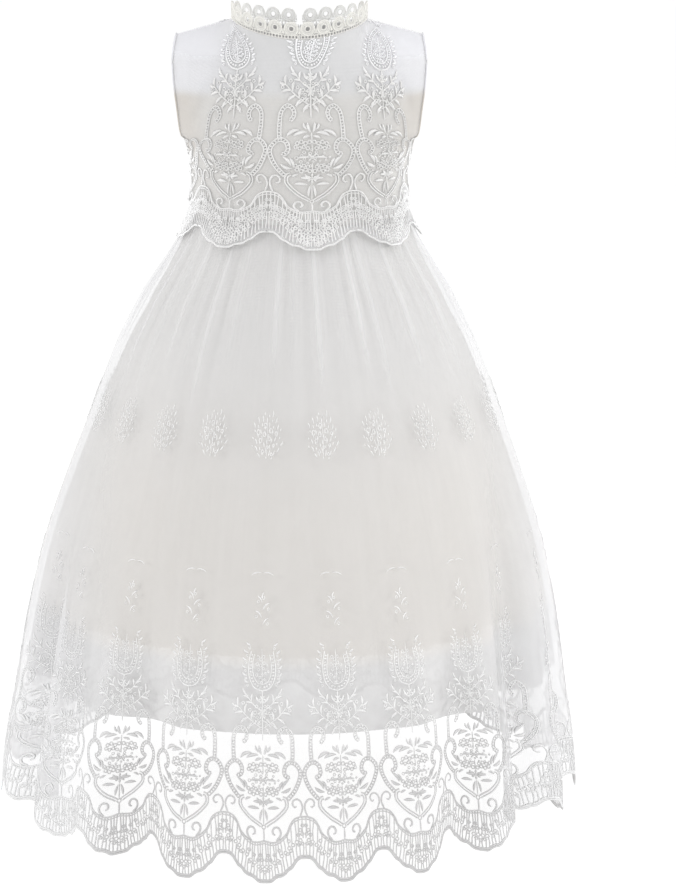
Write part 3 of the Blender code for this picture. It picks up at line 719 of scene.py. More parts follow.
@dataclass(frozen=True)
class BodiceForm:
    """The body's surface from the waist to the neck and shoulder seams."""

    waist_z: float = -0.1650
    neck_half_width: float = 0.0560
    neck_half_depth: float = 0.0470
    neck_centre_y: float = -0.0050
    neck_front_drop: float = 0.0020
    neck_side_rise: float = 0.0055
    neck_low: float = 0.0055
    shoulder_tip: tuple[float, float, float] = (0.1040, 0.0020, -0.0135)
    neck_share: float = 0.5
    shoulder_starts: float = 0.30
    slit_foot_z: float = -0.1250
    slit_half_width: float = 0.0001
    seam_gap: float = 0.0003
    underarm_place: float = 2.0
    top_place: float = 7.0
    # mid_z, mid_depth, edge_x, edge_depth, edge_z, turn
    front_rows: tuple = (
        (-0.1650, 0.0710, 0.0918, 0.0000, -0.1650, 1.00),
        (-0.1350, 0.0730, 0.0908, 0.0000, -0.1320, 1.00),
        (-0.1080, 0.0765, 0.0955, 0.0000, -0.1020, 1.00),
        (-0.0900, 0.0775, 0.0990, 0.0180, -0.0930, 0.89),
        (-0.0680, 0.0760, 0.1015, 0.0310, -0.0710, 0.76),
        (-0.0460, 0.0715, 0.1046, 0.0340, -0.0460, 0.66),
        (-0.0280, 0.0635, 0.1054, 0.0250, -0.0255, 0.58),
    )
    back_rows: tuple = (
        (-0.1650, 0.0700, 0.0918, 0.0000, -0.1650, 1.00),
        (-0.1350, 0.0700, 0.0908, 0.0000, -0.1320, 1.00),
        (-0.1080, 0.0715, 0.0955, 0.0000, -0.1020, 1.00),
        (-0.0900, 0.0725, 0.0990, 0.0190, -0.0930, 0.89),
        (-0.0680, 0.0725, 0.1010, 0.0330, -0.0710, 0.76),
        (-0.0460, 0.0700, 0.1040, 0.0370, -0.0460, 0.66),
        (-0.0260, 0.0640, 0.1048, 0.0270, -0.0255, 0.58),
    )

    def neckline(self, angle: Array | float) -> Array:
        """The neck seam.

        Args:
            angle: Angles from the centre front towards the wearer's left.

        Returns:
            The seam's points.
        """
        angle = np.asarray(angle, float)
        rise = self.neck_front_drop * np.cos(angle) + self.neck_side_rise * np.cos(2 * angle)
        x = self.neck_half_width * np.sin(angle)
        y = self.neck_centre_y - self.neck_half_depth * np.cos(angle)
        return np.stack([x, y, -self.neck_low - rise], axis=-1)

    def shoulder_seam(self) -> Array:
        """The way along the shoulder seam, from the neck to its tip."""
        return np.asarray(self.shoulder_tip) - self.neckline(np.pi / 2)

    def near_shoulder(self, share: Array) -> Array:
        """0 in the middle of a half panel and 1 under its shoulder seam."""
        return smooth_step((share - self.shoulder_starts) / (self.neck_share - self.shoulder_starts))

    def top_edge(self, share: Array, facing: int) -> Array:
        """A half panel's upper edge: along the neckline, then along the shoulder seam.

        Args:
            share: How far from the middle to the side each point lies.
            facing: -1 for the front and 1 for the back.

        Returns:
            The points.
        """
        angle = np.minimum(share / self.neck_share, 1.0) * np.pi / 2
        on_neck = self.neckline(angle if facing < 0 else np.pi - angle)
        past = np.maximum(share - self.neck_share, 0.0) / (1 - self.neck_share)
        return on_neck + past[..., None] * self.shoulder_seam()

    def columns(self, share: Array, facing: int) -> Array:
        """The points at which a half panel's columns cross its sections and its upper edge.

        Args:
            share: How far from the middle to the side each column lies.
            facing: -1 for the front and 1 for the back.

        Returns:
            The sections' points from the waist up, by section and column.
        """
        rows = np.array(self.front_rows if facing < 0 else self.back_rows)
        shape = (len(rows),) + (1,) * share.ndim
        mid_z, mid_depth, edge_x, edge_depth, edge_z, turn = (rows[:, i].reshape(shape) for i in range(6))
        whole = turn * np.pi / 2
        turned = (1 - np.cos(share * whole)) / (1 - np.cos(whole))
        x = edge_x * np.sin(share * whole) / np.sin(whole)
        y = facing * (mid_depth + (edge_depth - mid_depth) * turned)
        z = mid_z + (edge_z - mid_z) * turned
        return np.concatenate([np.stack([x, y, z], axis=-1), self.top_edge(share, facing)[None]])

    def point(self, share: Array, place: Array, facing: int) -> Array:
        """Points of the body's left half.

        Args:
            share: How far from the middle to the side.
            place: How high, counted in sections.
            facing: -1 for the front and 1 for the back.

        Returns:
            The points.
        """
        share, place = np.broadcast_arrays(np.asarray(share, float), np.asarray(place, float))
        column = self.columns(share, facing)
        ahead = 2 * column[-1] - column[-2]
        over = np.concatenate([column[-2][..., :1], ahead[..., 1:2], column[-2][..., 2:]], axis=-1)
        past = ahead + self.near_shoulder(share)[..., None] * (over - ahead)
        padded = np.concatenate([2 * column[:1] - column[1:2], column, past[None]])
        index = np.clip(place.astype(int), 0, len(column) - 2)
        four = (np.take_along_axis(padded, (index + i)[None, ..., None], axis=0)[0] for i in range(4))
        made = cubic(*four, (place - index)[..., None])
        flat_side = facing * np.maximum(facing * made[..., 1], 0.0)
        made[..., 1] = np.where(place < self.underarm_place + 1, flat_side, made[..., 1])
        return made

    def way_out(self, share: Array, place: Array, facing: int) -> Array:
        """The way out of the body; at the shoulder seam it is the seam's own.

        Args:
            share: How far from the middle to the side.
            place: How high, counted in sections.
            facing: -1 for the front and 1 for the back.

        Returns:
            Vectors of length 1.
        """
        share, place = np.broadcast_arrays(np.asarray(share, float), np.asarray(place, float))
        step = 0.01
        rise = self.point(share, np.minimum(place + step, self.top_place), facing)
        rise = rise - self.point(share, np.maximum(place - step, 0.0), facing)
        run = self.point(np.minimum(share + step, 1.0), place, facing)
        run = run - self.point(np.maximum(share - step, 0.0), place, facing)
        out = unit(np.cross(run, rise) if facing < 0 else np.cross(rise, run))
        out[..., 0] = np.where(share == 0.0, 0.0, out[..., 0])
        out[..., 1] = np.where((share == 1.0) & (place <= self.underarm_place), 0.0, out[..., 1])
        seam = self.shoulder_seam()
        seam_out = unit(np.array([-seam[2], 0.0, seam[0]]))
        near = smooth_step(place - self.top_place + 1) * self.near_shoulder(share)
        return unit(out + near[..., None] * (seam_out - out))

    def placed(self, points: Array, panel: Panel) -> Array:
        """Moves left-half points to their own side, and opens the seams and the slit at the centre back.

        Args:
            points: The points of a panel's grid.
            panel: The panel.

        Returns:
            The moved points.
        """
        moved = points.copy()
        moved[..., 1] += panel.facing * self.seam_gap / 2
        if panel.facing > 0:
            slit = self.slit_half_width * smooth_step((points[..., 2] - self.slit_foot_z) / -self.slit_foot_z)
            moved[..., 0] += (self.seam_gap / 2 + slit) * (1 - panel.share)
        moved[..., 0] *= panel.side
        return moved


# ================================================================ skirt form
class Layer(Enum):
    """The skirt's three layers."""

    LACE = "skirt_lace"
    NET = "skirt_net"
    LINING = "skirt_lining"


@dataclass(frozen=True)
class SkirtForm:
    """The hang of the skirt's layers below the waist."""

    waist_z: float = -0.1650
    top_z: float = -0.1653
    low_z: float = -0.6800
    scallop: float = 0.0215
    hem_lift: float = 0.40
    lifted_height: float = 0.17
    repeats: int = 20
    pitch: float = 0.070
    sway: float = -0.0098
    crowding: float = 0.17
    side_turn: float = 0.275
    lean_top: float = math.radians(-2.0)
    lean_hem: float = math.radians(3.4)
    net_hem_z: float = -0.5600
    lining_hem_z: float = -0.5030
    lining_flute_share: float = 0.75
    # z, half_width, half_depth
    lace_rows: tuple = (
        (-0.1653, 0.0933, 0.0715),
        (-0.1780, 0.0975, 0.0760),
        (-0.1880, 0.1025, 0.0805),
        (-0.1980, 0.1085, 0.0870),
        (-0.2300, 0.1272, 0.1080),
        (-0.2720, 0.1500, 0.1340),
        (-0.3200, 0.1715, 0.1570),
        (-0.3780, 0.1935, 0.1810),
        (-0.4430, 0.2155, 0.2050),
        (-0.5080, 0.2305, 0.2240),
        (-0.5750, 0.2415, 0.2360),
        (-0.6400, 0.2520, 0.2450),
        (-0.6800, 0.2550, 0.2480),
    )
    lining_rows: tuple = (
        (-0.1653, 0.0894, 0.0675),
        (-0.1950, 0.1000, 0.0770),
        (-0.2450, 0.1230, 0.1040),
        (-0.3200, 0.1580, 0.1440),
        (-0.4000, 0.1830, 0.1730),
        (-0.5030, 0.2080, 0.2010),
    )
    # angle_deg, reach_deg, depth, start_z
    flutes: tuple = (
        (-166.0, 12.0, 0.0250, -0.330),
        (-140.0, 13.0, 0.0300, -0.290),
        (-113.0, 12.0, 0.0260, -0.350),
        (-67.0, 9.5, 0.0380, -0.330),
        (-50.0, 8.0, 0.0120, -0.440),
        (-31.0, 10.0, 0.0200, -0.420),
        (-12.0, 7.0, 0.0040, -0.500),
        (18.0, 8.0, 0.0050, -0.500),
        (36.0, 10.0, 0.0180, -0.420),
        (57.0, 9.5, 0.0340, -0.320),
        (76.0, 8.0, 0.0200, -0.400),
        (108.0, 12.0, 0.0280, -0.320),
        (136.0, 12.0, 0.0250, -0.360),
        (164.0, 13.0, 0.0300, -0.300),
    )
    gather_columns: int = 160
    gather_steps: tuple[int, ...] = (4, 3, 5, 4, 4, 5, 3, 4)
    gather_heights: tuple[float, ...] = (0.0052, 0.0034, 0.0060, 0.0042, 0.0030, 0.0056, 0.0038)
    gather_lengths: tuple[float, ...] = (0.125, 0.080, 0.165, 0.100, 0.135, 0.070, 0.150, 0.110, 0.085)
    gather_full_z: float = -0.2250
    gather_share_at_waist: float = 0.20
    fine_heights: tuple[float, ...] = (0.0012, 0.0020, 0.0009, 0.0016, 0.0007, 0.0018, 0.0013)
    fine_lengths: tuple[float, ...] = (0.060, 0.100, 0.140, 0.045, 0.080)
    # where the two fine gathers lie on the way to the next one
    fine_places: Point = (0.32, 0.70)
    # half widths, in columns
    gather_reach: float = 2.0
    fine_reach: float = 0.8
    net_gather_share: float = 0.25
    # the net is folded tight only along gathers taller than the first of these, and fully at the second
    folded_heights: Point = (0.0025, 0.0060)
    fold_reach: float = 0.0052
    fold_wander: float = 0.0016
    net_behind_waist: float = 0.0019
    net_behind_more: float = 0.0051
    net_behind_reach: float = 0.08

    @property
    def height(self) -> float:
        """The skirt's height from the lowest point of its hem to the waist seam."""
        return self.top_z - self.low_z

    @property
    def cloth_width(self) -> float:
        """How wide the embroidered net is, cut and laid flat."""
        return self.repeats * self.pitch

    def section(self, rows: Sequence, z: Array) -> tuple[Array, Array]:
        """A layer's sections, on smooth curves through its rows.

        Args:
            rows: The layer's table.
            z: Heights.

        Returns:
            The half width and the half depth at each height.
        """
        heights, half_widths, half_depths = np.array(rows).T
        place = np.interp(-z, -heights, np.arange(len(heights)))
        return along(half_widths, place), along(half_depths, place)

    def fall(self, z: Array) -> Array:
        """0 at the waist and 1 at the hem."""
        return np.clip((self.waist_z - z) / (self.waist_z - self.low_z), 0.0, 1.0)

    def cloth_angle(self, turn: Array, z: Array) -> Array:
        """Where places of the cloth hang.

        Args:
            turn: Places round the cloth.
            z: Heights.

        Returns:
            The angle of each from the centre front.
        """
        whole = 2 * np.pi * turn
        lean = self.lean_top + (self.lean_hem - self.lean_top) * self.fall(z)
        return whole - self.crowding * np.sin(whole) + lean * np.cos(whole / 2) ** 2

    def flute_depth(self, angle: Array, z: Array) -> Array:
        """How far the folds of the hem turn in.

        Args:
            angle: Angles from the centre front.
            z: Heights.

        Returns:
            The depth at each.
        """
        depth = np.zeros(np.broadcast(angle, z).shape)
        for middle, reach, deep, start_z in self.flutes:
            away = (np.degrees(angle) - middle + 180.0) % 360.0 - 180.0
            depth += deep * hump(away, reach) * smooth_step((start_z - z) / (start_z - self.low_z))
        return depth

    def pleats(self) -> list[tuple[float, float, float, float]]:
        """The gathers below the waist, each with two fine ones after it.

        Returns:
            Each one's place round the cloth, height, length and half width.
        """
        made = []
        columns = self.gather_columns
        column = -columns // 2
        for i in range(len(self.gather_steps) * columns // sum(self.gather_steps)):
            step = cycled(self.gather_steps, i)
            tall, length = cycled(self.gather_heights, i), cycled(self.gather_lengths, i)
            made.append((column / columns, tall, length, self.gather_reach / columns))
            for j, share in enumerate(self.fine_places):
                tall, length = cycled(self.fine_heights, 3 * i + 2 * j), cycled(self.fine_lengths, i + j)
                made.append(((column + step * share) / columns, tall, length, self.fine_reach / columns))
            column += step
        return made

    def left_of(self, length: float, z: Array) -> Array:
        """How much is left of a gather of this length at heights, 1 to 0."""
        return 1 - smooth_step((self.gather_full_z - z) / length)

    def gathers(self, turn: Array, z: Array) -> Array:
        """How far the gathers stand out.

        Args:
            turn: Places round the cloth.
            z: Heights.

        Returns:
            The height at each.
        """
        height = np.zeros(np.broadcast(turn, z).shape)
        risen = smooth_step((self.waist_z - z) / (self.waist_z - self.gather_full_z))
        at_waist = self.gather_share_at_waist + (1 - self.gather_share_at_waist) * risen
        for place, tall, length, reach in self.pleats():
            away = turn - place
            height += tall * at_waist * self.left_of(length, z) * hump(away - np.round(away), reach)
        return height

    def folds(self, turn: Array, z: Array) -> Array:
        """How tightly the net is folded along the gathers' edges, which wander a little.

        Args:
            turn: Places round the cloth.
            z: Heights.

        Returns:
            0 to 1 at each.
        """
        low, high = self.folded_heights
        tight = np.zeros(np.broadcast(turn, z).shape)
        for i, (place, tall, length, reach) in enumerate(self.pleats()):
            wander = reach * (0.35 if i % 2 else -0.3) + self.fold_wander * np.sin(9.0 * z + i)
            away = turn - place - wander
            sharp = hump(away - np.round(away), self.fold_reach)
            tight = np.maximum(tight, smooth_step((tall - low) / (high - low)) * self.left_of(length, z) * sharp)
        return tight

    def net_inset(self, z: Array) -> Array:
        """How far the plain net hangs behind the embroidered one."""
        return self.net_behind_waist + self.net_behind_more * smooth_step((self.top_z - z) / self.net_behind_reach)

    def point(self, turn: Array, z: Array, layer: Layer, stand: float = 0.0) -> Array:
        """Points of a layer of the skirt.

        Args:
            turn: Places round the cloth.
            z: Heights.
            layer: Which layer.
            stand: How far outside the layer's inner face.

        Returns:
            The points.
        """
        turn, z = np.broadcast_arrays(np.asarray(turn, float), np.asarray(z, float))
        angle = self.cloth_angle(turn, z)
        rows = self.lining_rows if layer is Layer.LINING else self.lace_rows
        half_width, half_depth = self.section(rows, z)
        out = unit(np.stack([np.sin(angle) / half_width, -np.cos(angle) / half_depth, 0 * angle], axis=-1))
        made = np.stack([half_width * np.sin(angle), -half_depth * np.cos(angle), z], axis=-1)
        share = self.lining_flute_share if layer is Layer.LINING else 1.0
        offset = stand - share * self.flute_depth(angle, z)
        if layer is Layer.LACE:
            offset = offset + self.gathers(turn, z)
        elif layer is Layer.NET:
            offset = offset - self.net_inset(z) + self.net_gather_share * self.gathers(turn, z)
        made = made + out * offset[..., None]
        made[..., 0] += self.sway * self.fall(z)
        return made

    def scallops(self, phase: Array) -> Array:
        """Height of a scalloped edge, 0 to 1, at phases counted in repeats from a scallop's low point."""
        return scallop_height(np.abs(phase - np.round(phase)) * 2)

    def hem_height(self, turn: Array) -> Array:
        """Height of the lace's scalloped edge on the flat cloth; a cusp lies at the centre front."""
        return self.scallop * self.scallops(turn * self.repeats + 0.5)

    def cloth_z(self, turn: Array, height: Array) -> Array:
        """Where the lace hangs; the folds swing its hem up.

        Args:
            turn: Places round the cloth.
            height: Heights on the flat cloth.

        Returns:
            The height at which each place hangs.
        """
        low = np.full(np.shape(turn), self.low_z)
        lift = self.hem_lift * self.flute_depth(self.cloth_angle(turn, low), low)
        return self.low_z + height + lift * smooth_step(1 - height / self.lifted_height)


# ================================================================ embroidery charts
@dataclass
class Strokes:
    """Threads of a flat chart in millimetres: runs of points, and half the thread's width at each."""

    runs: list[tuple[Array, Array, bool]] = field(default_factory=list)
    # share of a leaf's length, share of its width
    leaf_outline: ClassVar[tuple[Point, ...]] = (
        (0.0, 0.16), (0.16, 0.62), (0.38, 0.95), (0.62, 1.0), (0.84, 0.66), (1.0, 0.1),
    )

    def add(self, points: Array, half: Array | float, closed: bool = False, both: bool = False) -> None:
        """Adds a thread, and its mirror image if both sides have it.

        Args:
            points: The thread's points.
            half: Half its width, at each point or all along.
            closed: Whether it ends where it starts.
            both: Whether the other side of the axis has it too.
        """
        points = np.asarray(points, float)
        wide = np.broadcast_to(np.asarray(half, float), (len(points),))
        self.runs.append((points, wide, closed))
        if both:
            self.runs.append((points * (-1, 1), wide, closed))

    def cord(self, points: Sequence[Point], half: float, step: float = 2.2, both: bool = False) -> None:
        """Adds a smooth cord, thin at its very ends.

        Args:
            points: Points that it runs through.
            half: Half its width.
            step: How far apart its points lie.
            both: Whether the other side of the axis has it too.
        """
        line = evenly(points, step)
        wide = np.full(len(line), half)
        wide[[0, -1]] *= 0.6
        self.add(line, wide, False, both)

    def ring(self, centre: Point, radius: float, half: float, steps: int = 6, both: bool = False) -> None:
        """Adds a ring of thread."""
        angles = 2 * np.pi * np.arange(steps) / steps
        self.add(np.stack([np.cos(angles), np.sin(angles)], 1) * radius + centre, half, True, both)

    def leaf(self, base: Point, tip: Point, width: float, bend: float = 0.0, both: bool = True) -> None:
        """Adds a leaf or petal, widest past its middle.

        Args:
            base: Where it grows from.
            tip: Its tip.
            width: Its whole width.
            bend: How far its middle bows to the left, as a share of its length.
            both: Whether the other side of the axis has it too.
        """
        way = np.subtract(tip, base)
        share, wide = np.transpose(self.leaf_outline)
        bow = np.array([-way[1], way[0]]) * bend
        points = np.asarray(base) + share[:, None] * way + (4 * share * (1 - share))[:, None] * bow
        self.add(points, wide * width / 2, False, both)

    def leaves(self, table: Sequence[tuple[Point, Point, float, float]]) -> None:
        """Adds leaves on both sides of the axis, by rows of their base, tip, width and bend."""
        for row in table:
            self.leaf(*row)

    def flower(self, centre: Point, radius: float, petals: int, width: float, turned: float = 0.0) -> None:
        """Adds petals round a small ring.

        Args:
            centre: Its middle.
            radius: Its radius.
            petals: How many petals it has.
            width: A petal's width.
            turned: The first petal's angle in degrees.
        """
        for angle in math.radians(turned) + 2 * np.pi * np.arange(petals) / petals:
            way = np.array([math.cos(angle), math.sin(angle)]) * radius
            self.leaf(tuple(centre + way * 0.25), tuple(centre + way), width, 0.0, False)
        self.ring(centre, radius * 0.2, radius * 0.12)

    def cluster(self, centre: Point, reach: Point, count: int, size: float, leaves: bool = False) -> None:
        """Fills an oval unevenly with small rings, or with small leaves that spread from its foot.

        Args:
            centre: The oval's centre.
            reach: Half its width and half its height.
            count: How many there are.
            size: A ring's radius or a leaf's length.
            leaves: Whether they are leaves.
        """
        foot = np.array([centre[0], centre[1] - reach[1] * 1.3])
        for i in range(count):
            out, angle = math.sqrt((i + 0.5) / count), GOLDEN_ANGLE * i
            spot = np.array(centre) + np.array([math.cos(angle), math.sin(angle)]) * out * reach
            if leaves:
                way = unit(spot - foot + (0.0, 0.5)) * size * (0.8 + 0.35 * math.sin(3.1 * i))
                self.leaf(tuple(spot - way / 2), tuple(spot + way / 2), size * 0.34, 0.1 * (-1) ** i, False)
            else:
                self.ring(tuple(spot), size * (0.85 + 0.25 * math.sin(2.3 * i)), size * 0.30)

    def beads(self, line: Array, step: float, radius: float, both: bool = False) -> None:
        """Adds small knots along a line, each a short plump thread.

        Args:
            line: The line's points.
            step: From knot to knot.
            radius: A knot's radius.
            both: Whether the other side of the axis has them too.
        """
        for x, y in evenly([tuple(p) for p in line], step):
            self.add([[x - radius, y], [x, y], [x + radius, y]], np.array([0.35, 1.0, 0.35]) * radius, False, both)

    def braid(self, points: Sequence[Point], gap: float, half: float, step: float) -> None:
        """Adds a pair of cords with a row of knots between them, on both sides of the axis.

        Args:
            points: The braid's middle line.
            gap: From the middle line to each cord.
            half: Half a cord's width.
            step: From knot to knot, or 0 for none.
        """
        line = evenly(points, 2.3)
        ahead = unit(np.gradient(line, axis=0))
        across = np.stack([-ahead[:, 1], ahead[:, 0]], 1) * gap
        for way in (1, -1):
            self.add(line + across * way, half, False, True)
        if step:
            self.beads(line, step, gap * 0.62, True)

    def bolder(self, factor: float) -> "Strokes":
        """The same threads, wider by a factor."""
        return Strokes([(points, wide * factor, closed) for points, wide, closed in self.runs])

    def as_curve(self, name: str) -> bpy.types.Object:
        """Draws the threads as the splines of one flat curve, in metres.

        Args:
            name: The curve's name.

        Returns:
            The curve object.
        """
        curve = bpy.data.curves.new(name, "CURVE")
        curve.dimensions = "3D"
        for points, wide, closed in self.runs:
            spline = curve.splines.new("POLY")
            spline.points.add(len(points) - 1)
            placed = np.zeros((len(points), 4))
            placed[:, :2] = points * MM
            placed[:, 3] = 1.0
            spline.points.foreach_set("co", placed.ravel())
            spline.points.foreach_set("radius", wide * MM)
            spline.use_cyclic_u = closed
        obj = bpy.data.objects.new(name, curve)
        bpy.context.scene.collection.objects.link(obj)
        return obj


@dataclass(frozen=True)
class LaceChart:
    """One repeat of the border lace, in millimetres: x from its axis, and the height above the scallop's foot.

    Its parts are common lace motifs: a ladder band with rings along the scallops, a scrolled cartouche
    with leaves and berries in it, and sprigs of flowers above.
    """

    scallop_depth: float = 21.5
    half_pitch: float = 35.0
    hem_cord: float = 0.85
    picot: float = 0.55
    cord: float = 0.72
    bar: float = 0.46
    bars: int = 13
    ring_half: float = 0.48
    berry: float = 1.5
    drop_rows: int = 8
    knot_rows: int = 1
    drop_rings: int = 16
    wave_low: float = 13.0
    wave_rise: float = 23.5
    wave_reach: float = 34.0
    arch: tuple = ((0, 35.4), (8, 34), (14, 36.5), (20, 42), (22.5, 48), (26, 53), (31, 55.3), (35, 55.6))
    hook: tuple = (
        (31.7, 56.0), (33.8, 61.0), (33.8, 65.0), (32.0, 68.5), (29.0, 70.0), (26.0, 68.3), (25.4, 65.4),
        (27.2, 63.2), (29.2, 63.8),
    )
    scroll: tuple = (
        (10.5, 35.5), (13.4, 38.5), (14.6, 42.0), (13.4, 45.6), (10.6, 46.9), (8.2, 45.2), (7.6, 41.8), (9.8, 40.2)
    )
    cup: tuple = (
        (2.0, 47.8), (5.0, 50.0), (10.2, 53.2), (16.0, 58.1), (20.1, 63.0), (20.6, 67.0), (19.4, 69.9), (16.9, 70.9)
    )
    lobe: tuple = (
        (21.5, 69.6), (27.3, 75.8), (31.2, 82.7), (33.2, 88.7), (33.0, 92.6), (30.7, 96.5), (26.9, 99.3),
        (22.7, 99.0), (19.8, 96.0), (18.8, 91.6), (20.4, 88.2), (23.4, 87.2),
    )
    post: tuple = (
        (26.4, 100.0), (26.9, 108.3), (26.6, 119.2), (24.6, 124.1), (20.8, 127.0), (17.0, 125.6), (14.6, 121.6),
        (15.4, 117.4), (17.9, 115.2),
    )
    drop: tuple = (
        (0.0, 156.8), (6.2, 158.6), (10.6, 163.6), (12.6, 171.0), (12.3, 179.5), (10.4, 188.0), (6.6, 196.4),
        (0.0, 204.5),
    )
    band_berries: tuple = (
        (0.0, 9.2), (1.8, 19.4), (5.4, 19.6), (3.4, 23.4), (33.2, 41.4), (29.8, 40.6), (31.6, 44.6), (33.4, 48.4),
        (12.8, 27.6), (21.4, 35.4), (8.8, 23.8),
    )
    # foot, tip and height of its tip
    loose_leaves: tuple = (
        (0.6, 6.2, 214.0), (-0.6, -7.2, 219.5), (0.4, 7.6, 225.5), (-0.2, -5.0, 231.0), (0, 1.8, 234.0),
    )

    def edge(self, x: Array) -> Array:
        """The scalloped edge's height."""
        return self.scallop_depth * scallop_height(np.abs(np.asarray(x, float)) / self.half_pitch)

    def wave(self, x: Array) -> Array:
        """The height of the line of rings through the ladder band."""
        return self.wave_low + self.wave_rise * smooth_step(np.abs(x) / self.wave_reach)

    def top_line(self, x: Array) -> Array:
        """The ladder band's upper line, which arches over the cusps."""
        return np.interp(np.abs(x), *zip(*self.arch))

    def berries(self, made: Strokes, table: Iterable[Point], size: float = 1.0) -> None:
        """Adds small rings at places of a table, and at the same places on the other side of the axis."""
        for x, height in table:
            made.ring((x, height), self.berry * size, self.ring_half, 6, x > 0)

    def hem_band(self) -> Strokes:
        """Draws the corded scalloped edge and the ladder band above it.

        Returns:
            The band's threads.
        """
        made = Strokes()
        x = np.linspace(-self.half_pitch, self.half_pitch, 49)
        edge = np.stack([x, self.edge(x)], 1)
        for rise in (1.0, 2.9):
            made.add(edge + (0, self.hem_cord * rise), self.hem_cord)
        made.beads(edge + (0, self.hem_cord * 2), 2.1, self.picot)
        arch = evenly(self.arch, 2.2)
        made.add(arch, self.cord * 0.9, False, True)
        made.add(arch - (0, 2.1), self.bar, False, True)
        self._ladder(made)
        for i, x_ring in enumerate(np.arange(1.8, self.wave_reach, 3.3)):
            self.berries(made, [(x_ring, self.wave(x_ring) + 0.6 * math.sin(x_ring))])
            self._knots(made, i, x_ring)
        self.berries(made, self.band_berries, 0.9)
        made.cord(self.hook, self.cord, 2.0, True)
        made.cord(self.scroll, self.cord * 1.15, 2.0, True)
        return made

    def _ladder(self, made: Strokes) -> None:
        """Adds the band's uneven bars, below and above its line of rings.

        Args:
            made: The band's threads.
        """
        for i in range(self.bars):
            x_low = (i + 0.5) * self.half_pitch / self.bars
            x_high = x_low * 0.8 if x_low < 20 else 35 - (35 - x_low) * 1.25
            x_mid = (x_low + x_high) / 2 + 0.4 * math.sin(2.7 * i)
            low, mid, high = self.edge(x_low) + 3.0, self.wave(x_mid), self.top_line(x_high)
            bow = 0.5 * math.cos(1.9 * i)
            lower = [(x_low, low), ((x_low + x_mid) / 2 - bow, (low + mid) / 2), (x_mid, mid - 1.5)]
            upper = [(x_mid, mid + 1.5), ((x_mid + x_high) / 2 + bow, (mid + high) / 2), (x_high, high - 0.4)]
            for leg in (lower, upper):
                made.add(leg, self.bar, False, True)

    def _knots(self, made: Strokes, index: int, x_ring: float) -> None:
        """Adds the knots over and under one ring of the band, where there is room for them.

        Args:
            made: The band's threads.
            index: The ring's number.
            x_ring: Where the ring is.
        """
        for row in range(self.knot_rows):
            x = x_ring + 1.5 * ((row + 1) % 2) + 0.4 * math.sin(1.7 * index + row)
            height = self.wave(x) + 3.1 * (-(row + 1) if row < 3 else row - 2)
            clear = self.edge(x) + 3.4 < height < self.top_line(x) - 2.0
            if clear and (self.knot_rows > 1 or index % 3 != 1):
                self.berries(made, [(x, height)], 0.85)

    def cartouche(self) -> Strokes:
        """Draws the scrolled frame with the leaves, flowers and berries inside it.

        Returns:
            The cartouche's threads.
        """
        made = Strokes()
        made.cord([(0, 35.6), (0.15, 40), (0, 45.0)], self.cord * 0.8)
        made.ring((0, 46.9), 1.7, self.ring_half)
        made.braid(self.cup, 1.1, self.cord * 0.8, 0.0)
        made.braid(self.lobe, 1.35, self.cord * 0.72, 2.5)
        made.leaves((
            ((3.6, 61.8), (14.0, 62.4), 2.5, 0.06), ((1.0, 61.5), (3.0, 51.6), 1.9, 0.05),
            ((0.9, 66.0), (5.6, 71.0), 2.2, -0.1), ((2.4, 66.2), (9.0, 67.6), 2.2, 0.1),
            ((1.8, 85.0), (11.8, 84.4), 1.7, 0.05), ((15.8, 75.4), (24.6, 79.4), 2.6, -0.12),
            ((16.6, 77.6), (23.0, 85.4), 2.4, 0.14), ((14.4, 76.4), (17.6, 84.4), 2.1, 0.1),
            ((11.0, 70.6), (16.2, 68.2), 1.9, 0.1),
        ))
        made.flower((0, 67.0), 4.4, 6, 1.7, 90)
        made.flower((0, 85.0), 4.6, 4, 1.3, 45)
        for i in range(4):
            self.berries(made, ((2.0 + 3.3 * i, 73.4 + 1.2 * (i % 2)), (1.9 + 3.3 * i, 97.6 - 1.2 * (i % 2))))
            self.berries(made, ((3.5 + 3.2 * i, 77.0 + i % 2), (3.4 + 3.2 * i, 92.4 + i % 2)), 0.9)
        made.cluster((0.0, 84.0), (13.8, 7.6), 22, 1.15)
        for low, high in ((49.0, 62.5), (71.5, 79.8), (89.6, 96.0)):
            made.cord([(0, low), (0, high)], self.cord * 0.6)
        return made

    def crown(self) -> Strokes:
        """Draws the frame's two posts with their hooks, and the drooping leaves between them.

        Returns:
            The crown's threads.
        """
        made = Strokes()
        made.braid(self.post, 1.35, self.cord * 0.72, 2.5)
        made.leaves((
            ((4.0, 105.2), (15.0, 102.4), 2.7, 0.12), ((10.0, 107.0), (20.6, 101.8), 2.7, 0.16),
            ((1.2, 102.4), (7.2, 100.4), 2.1, 0.1), ((0.9, 105.6), (3.0, 113.4), 2.3, -0.1),
            ((3.8, 107.6), (6.8, 113.0), 1.9, -0.1),
        ))
        made.cord([(0, 96.0), (0, 105.0)], self.cord * 0.6)
        return made

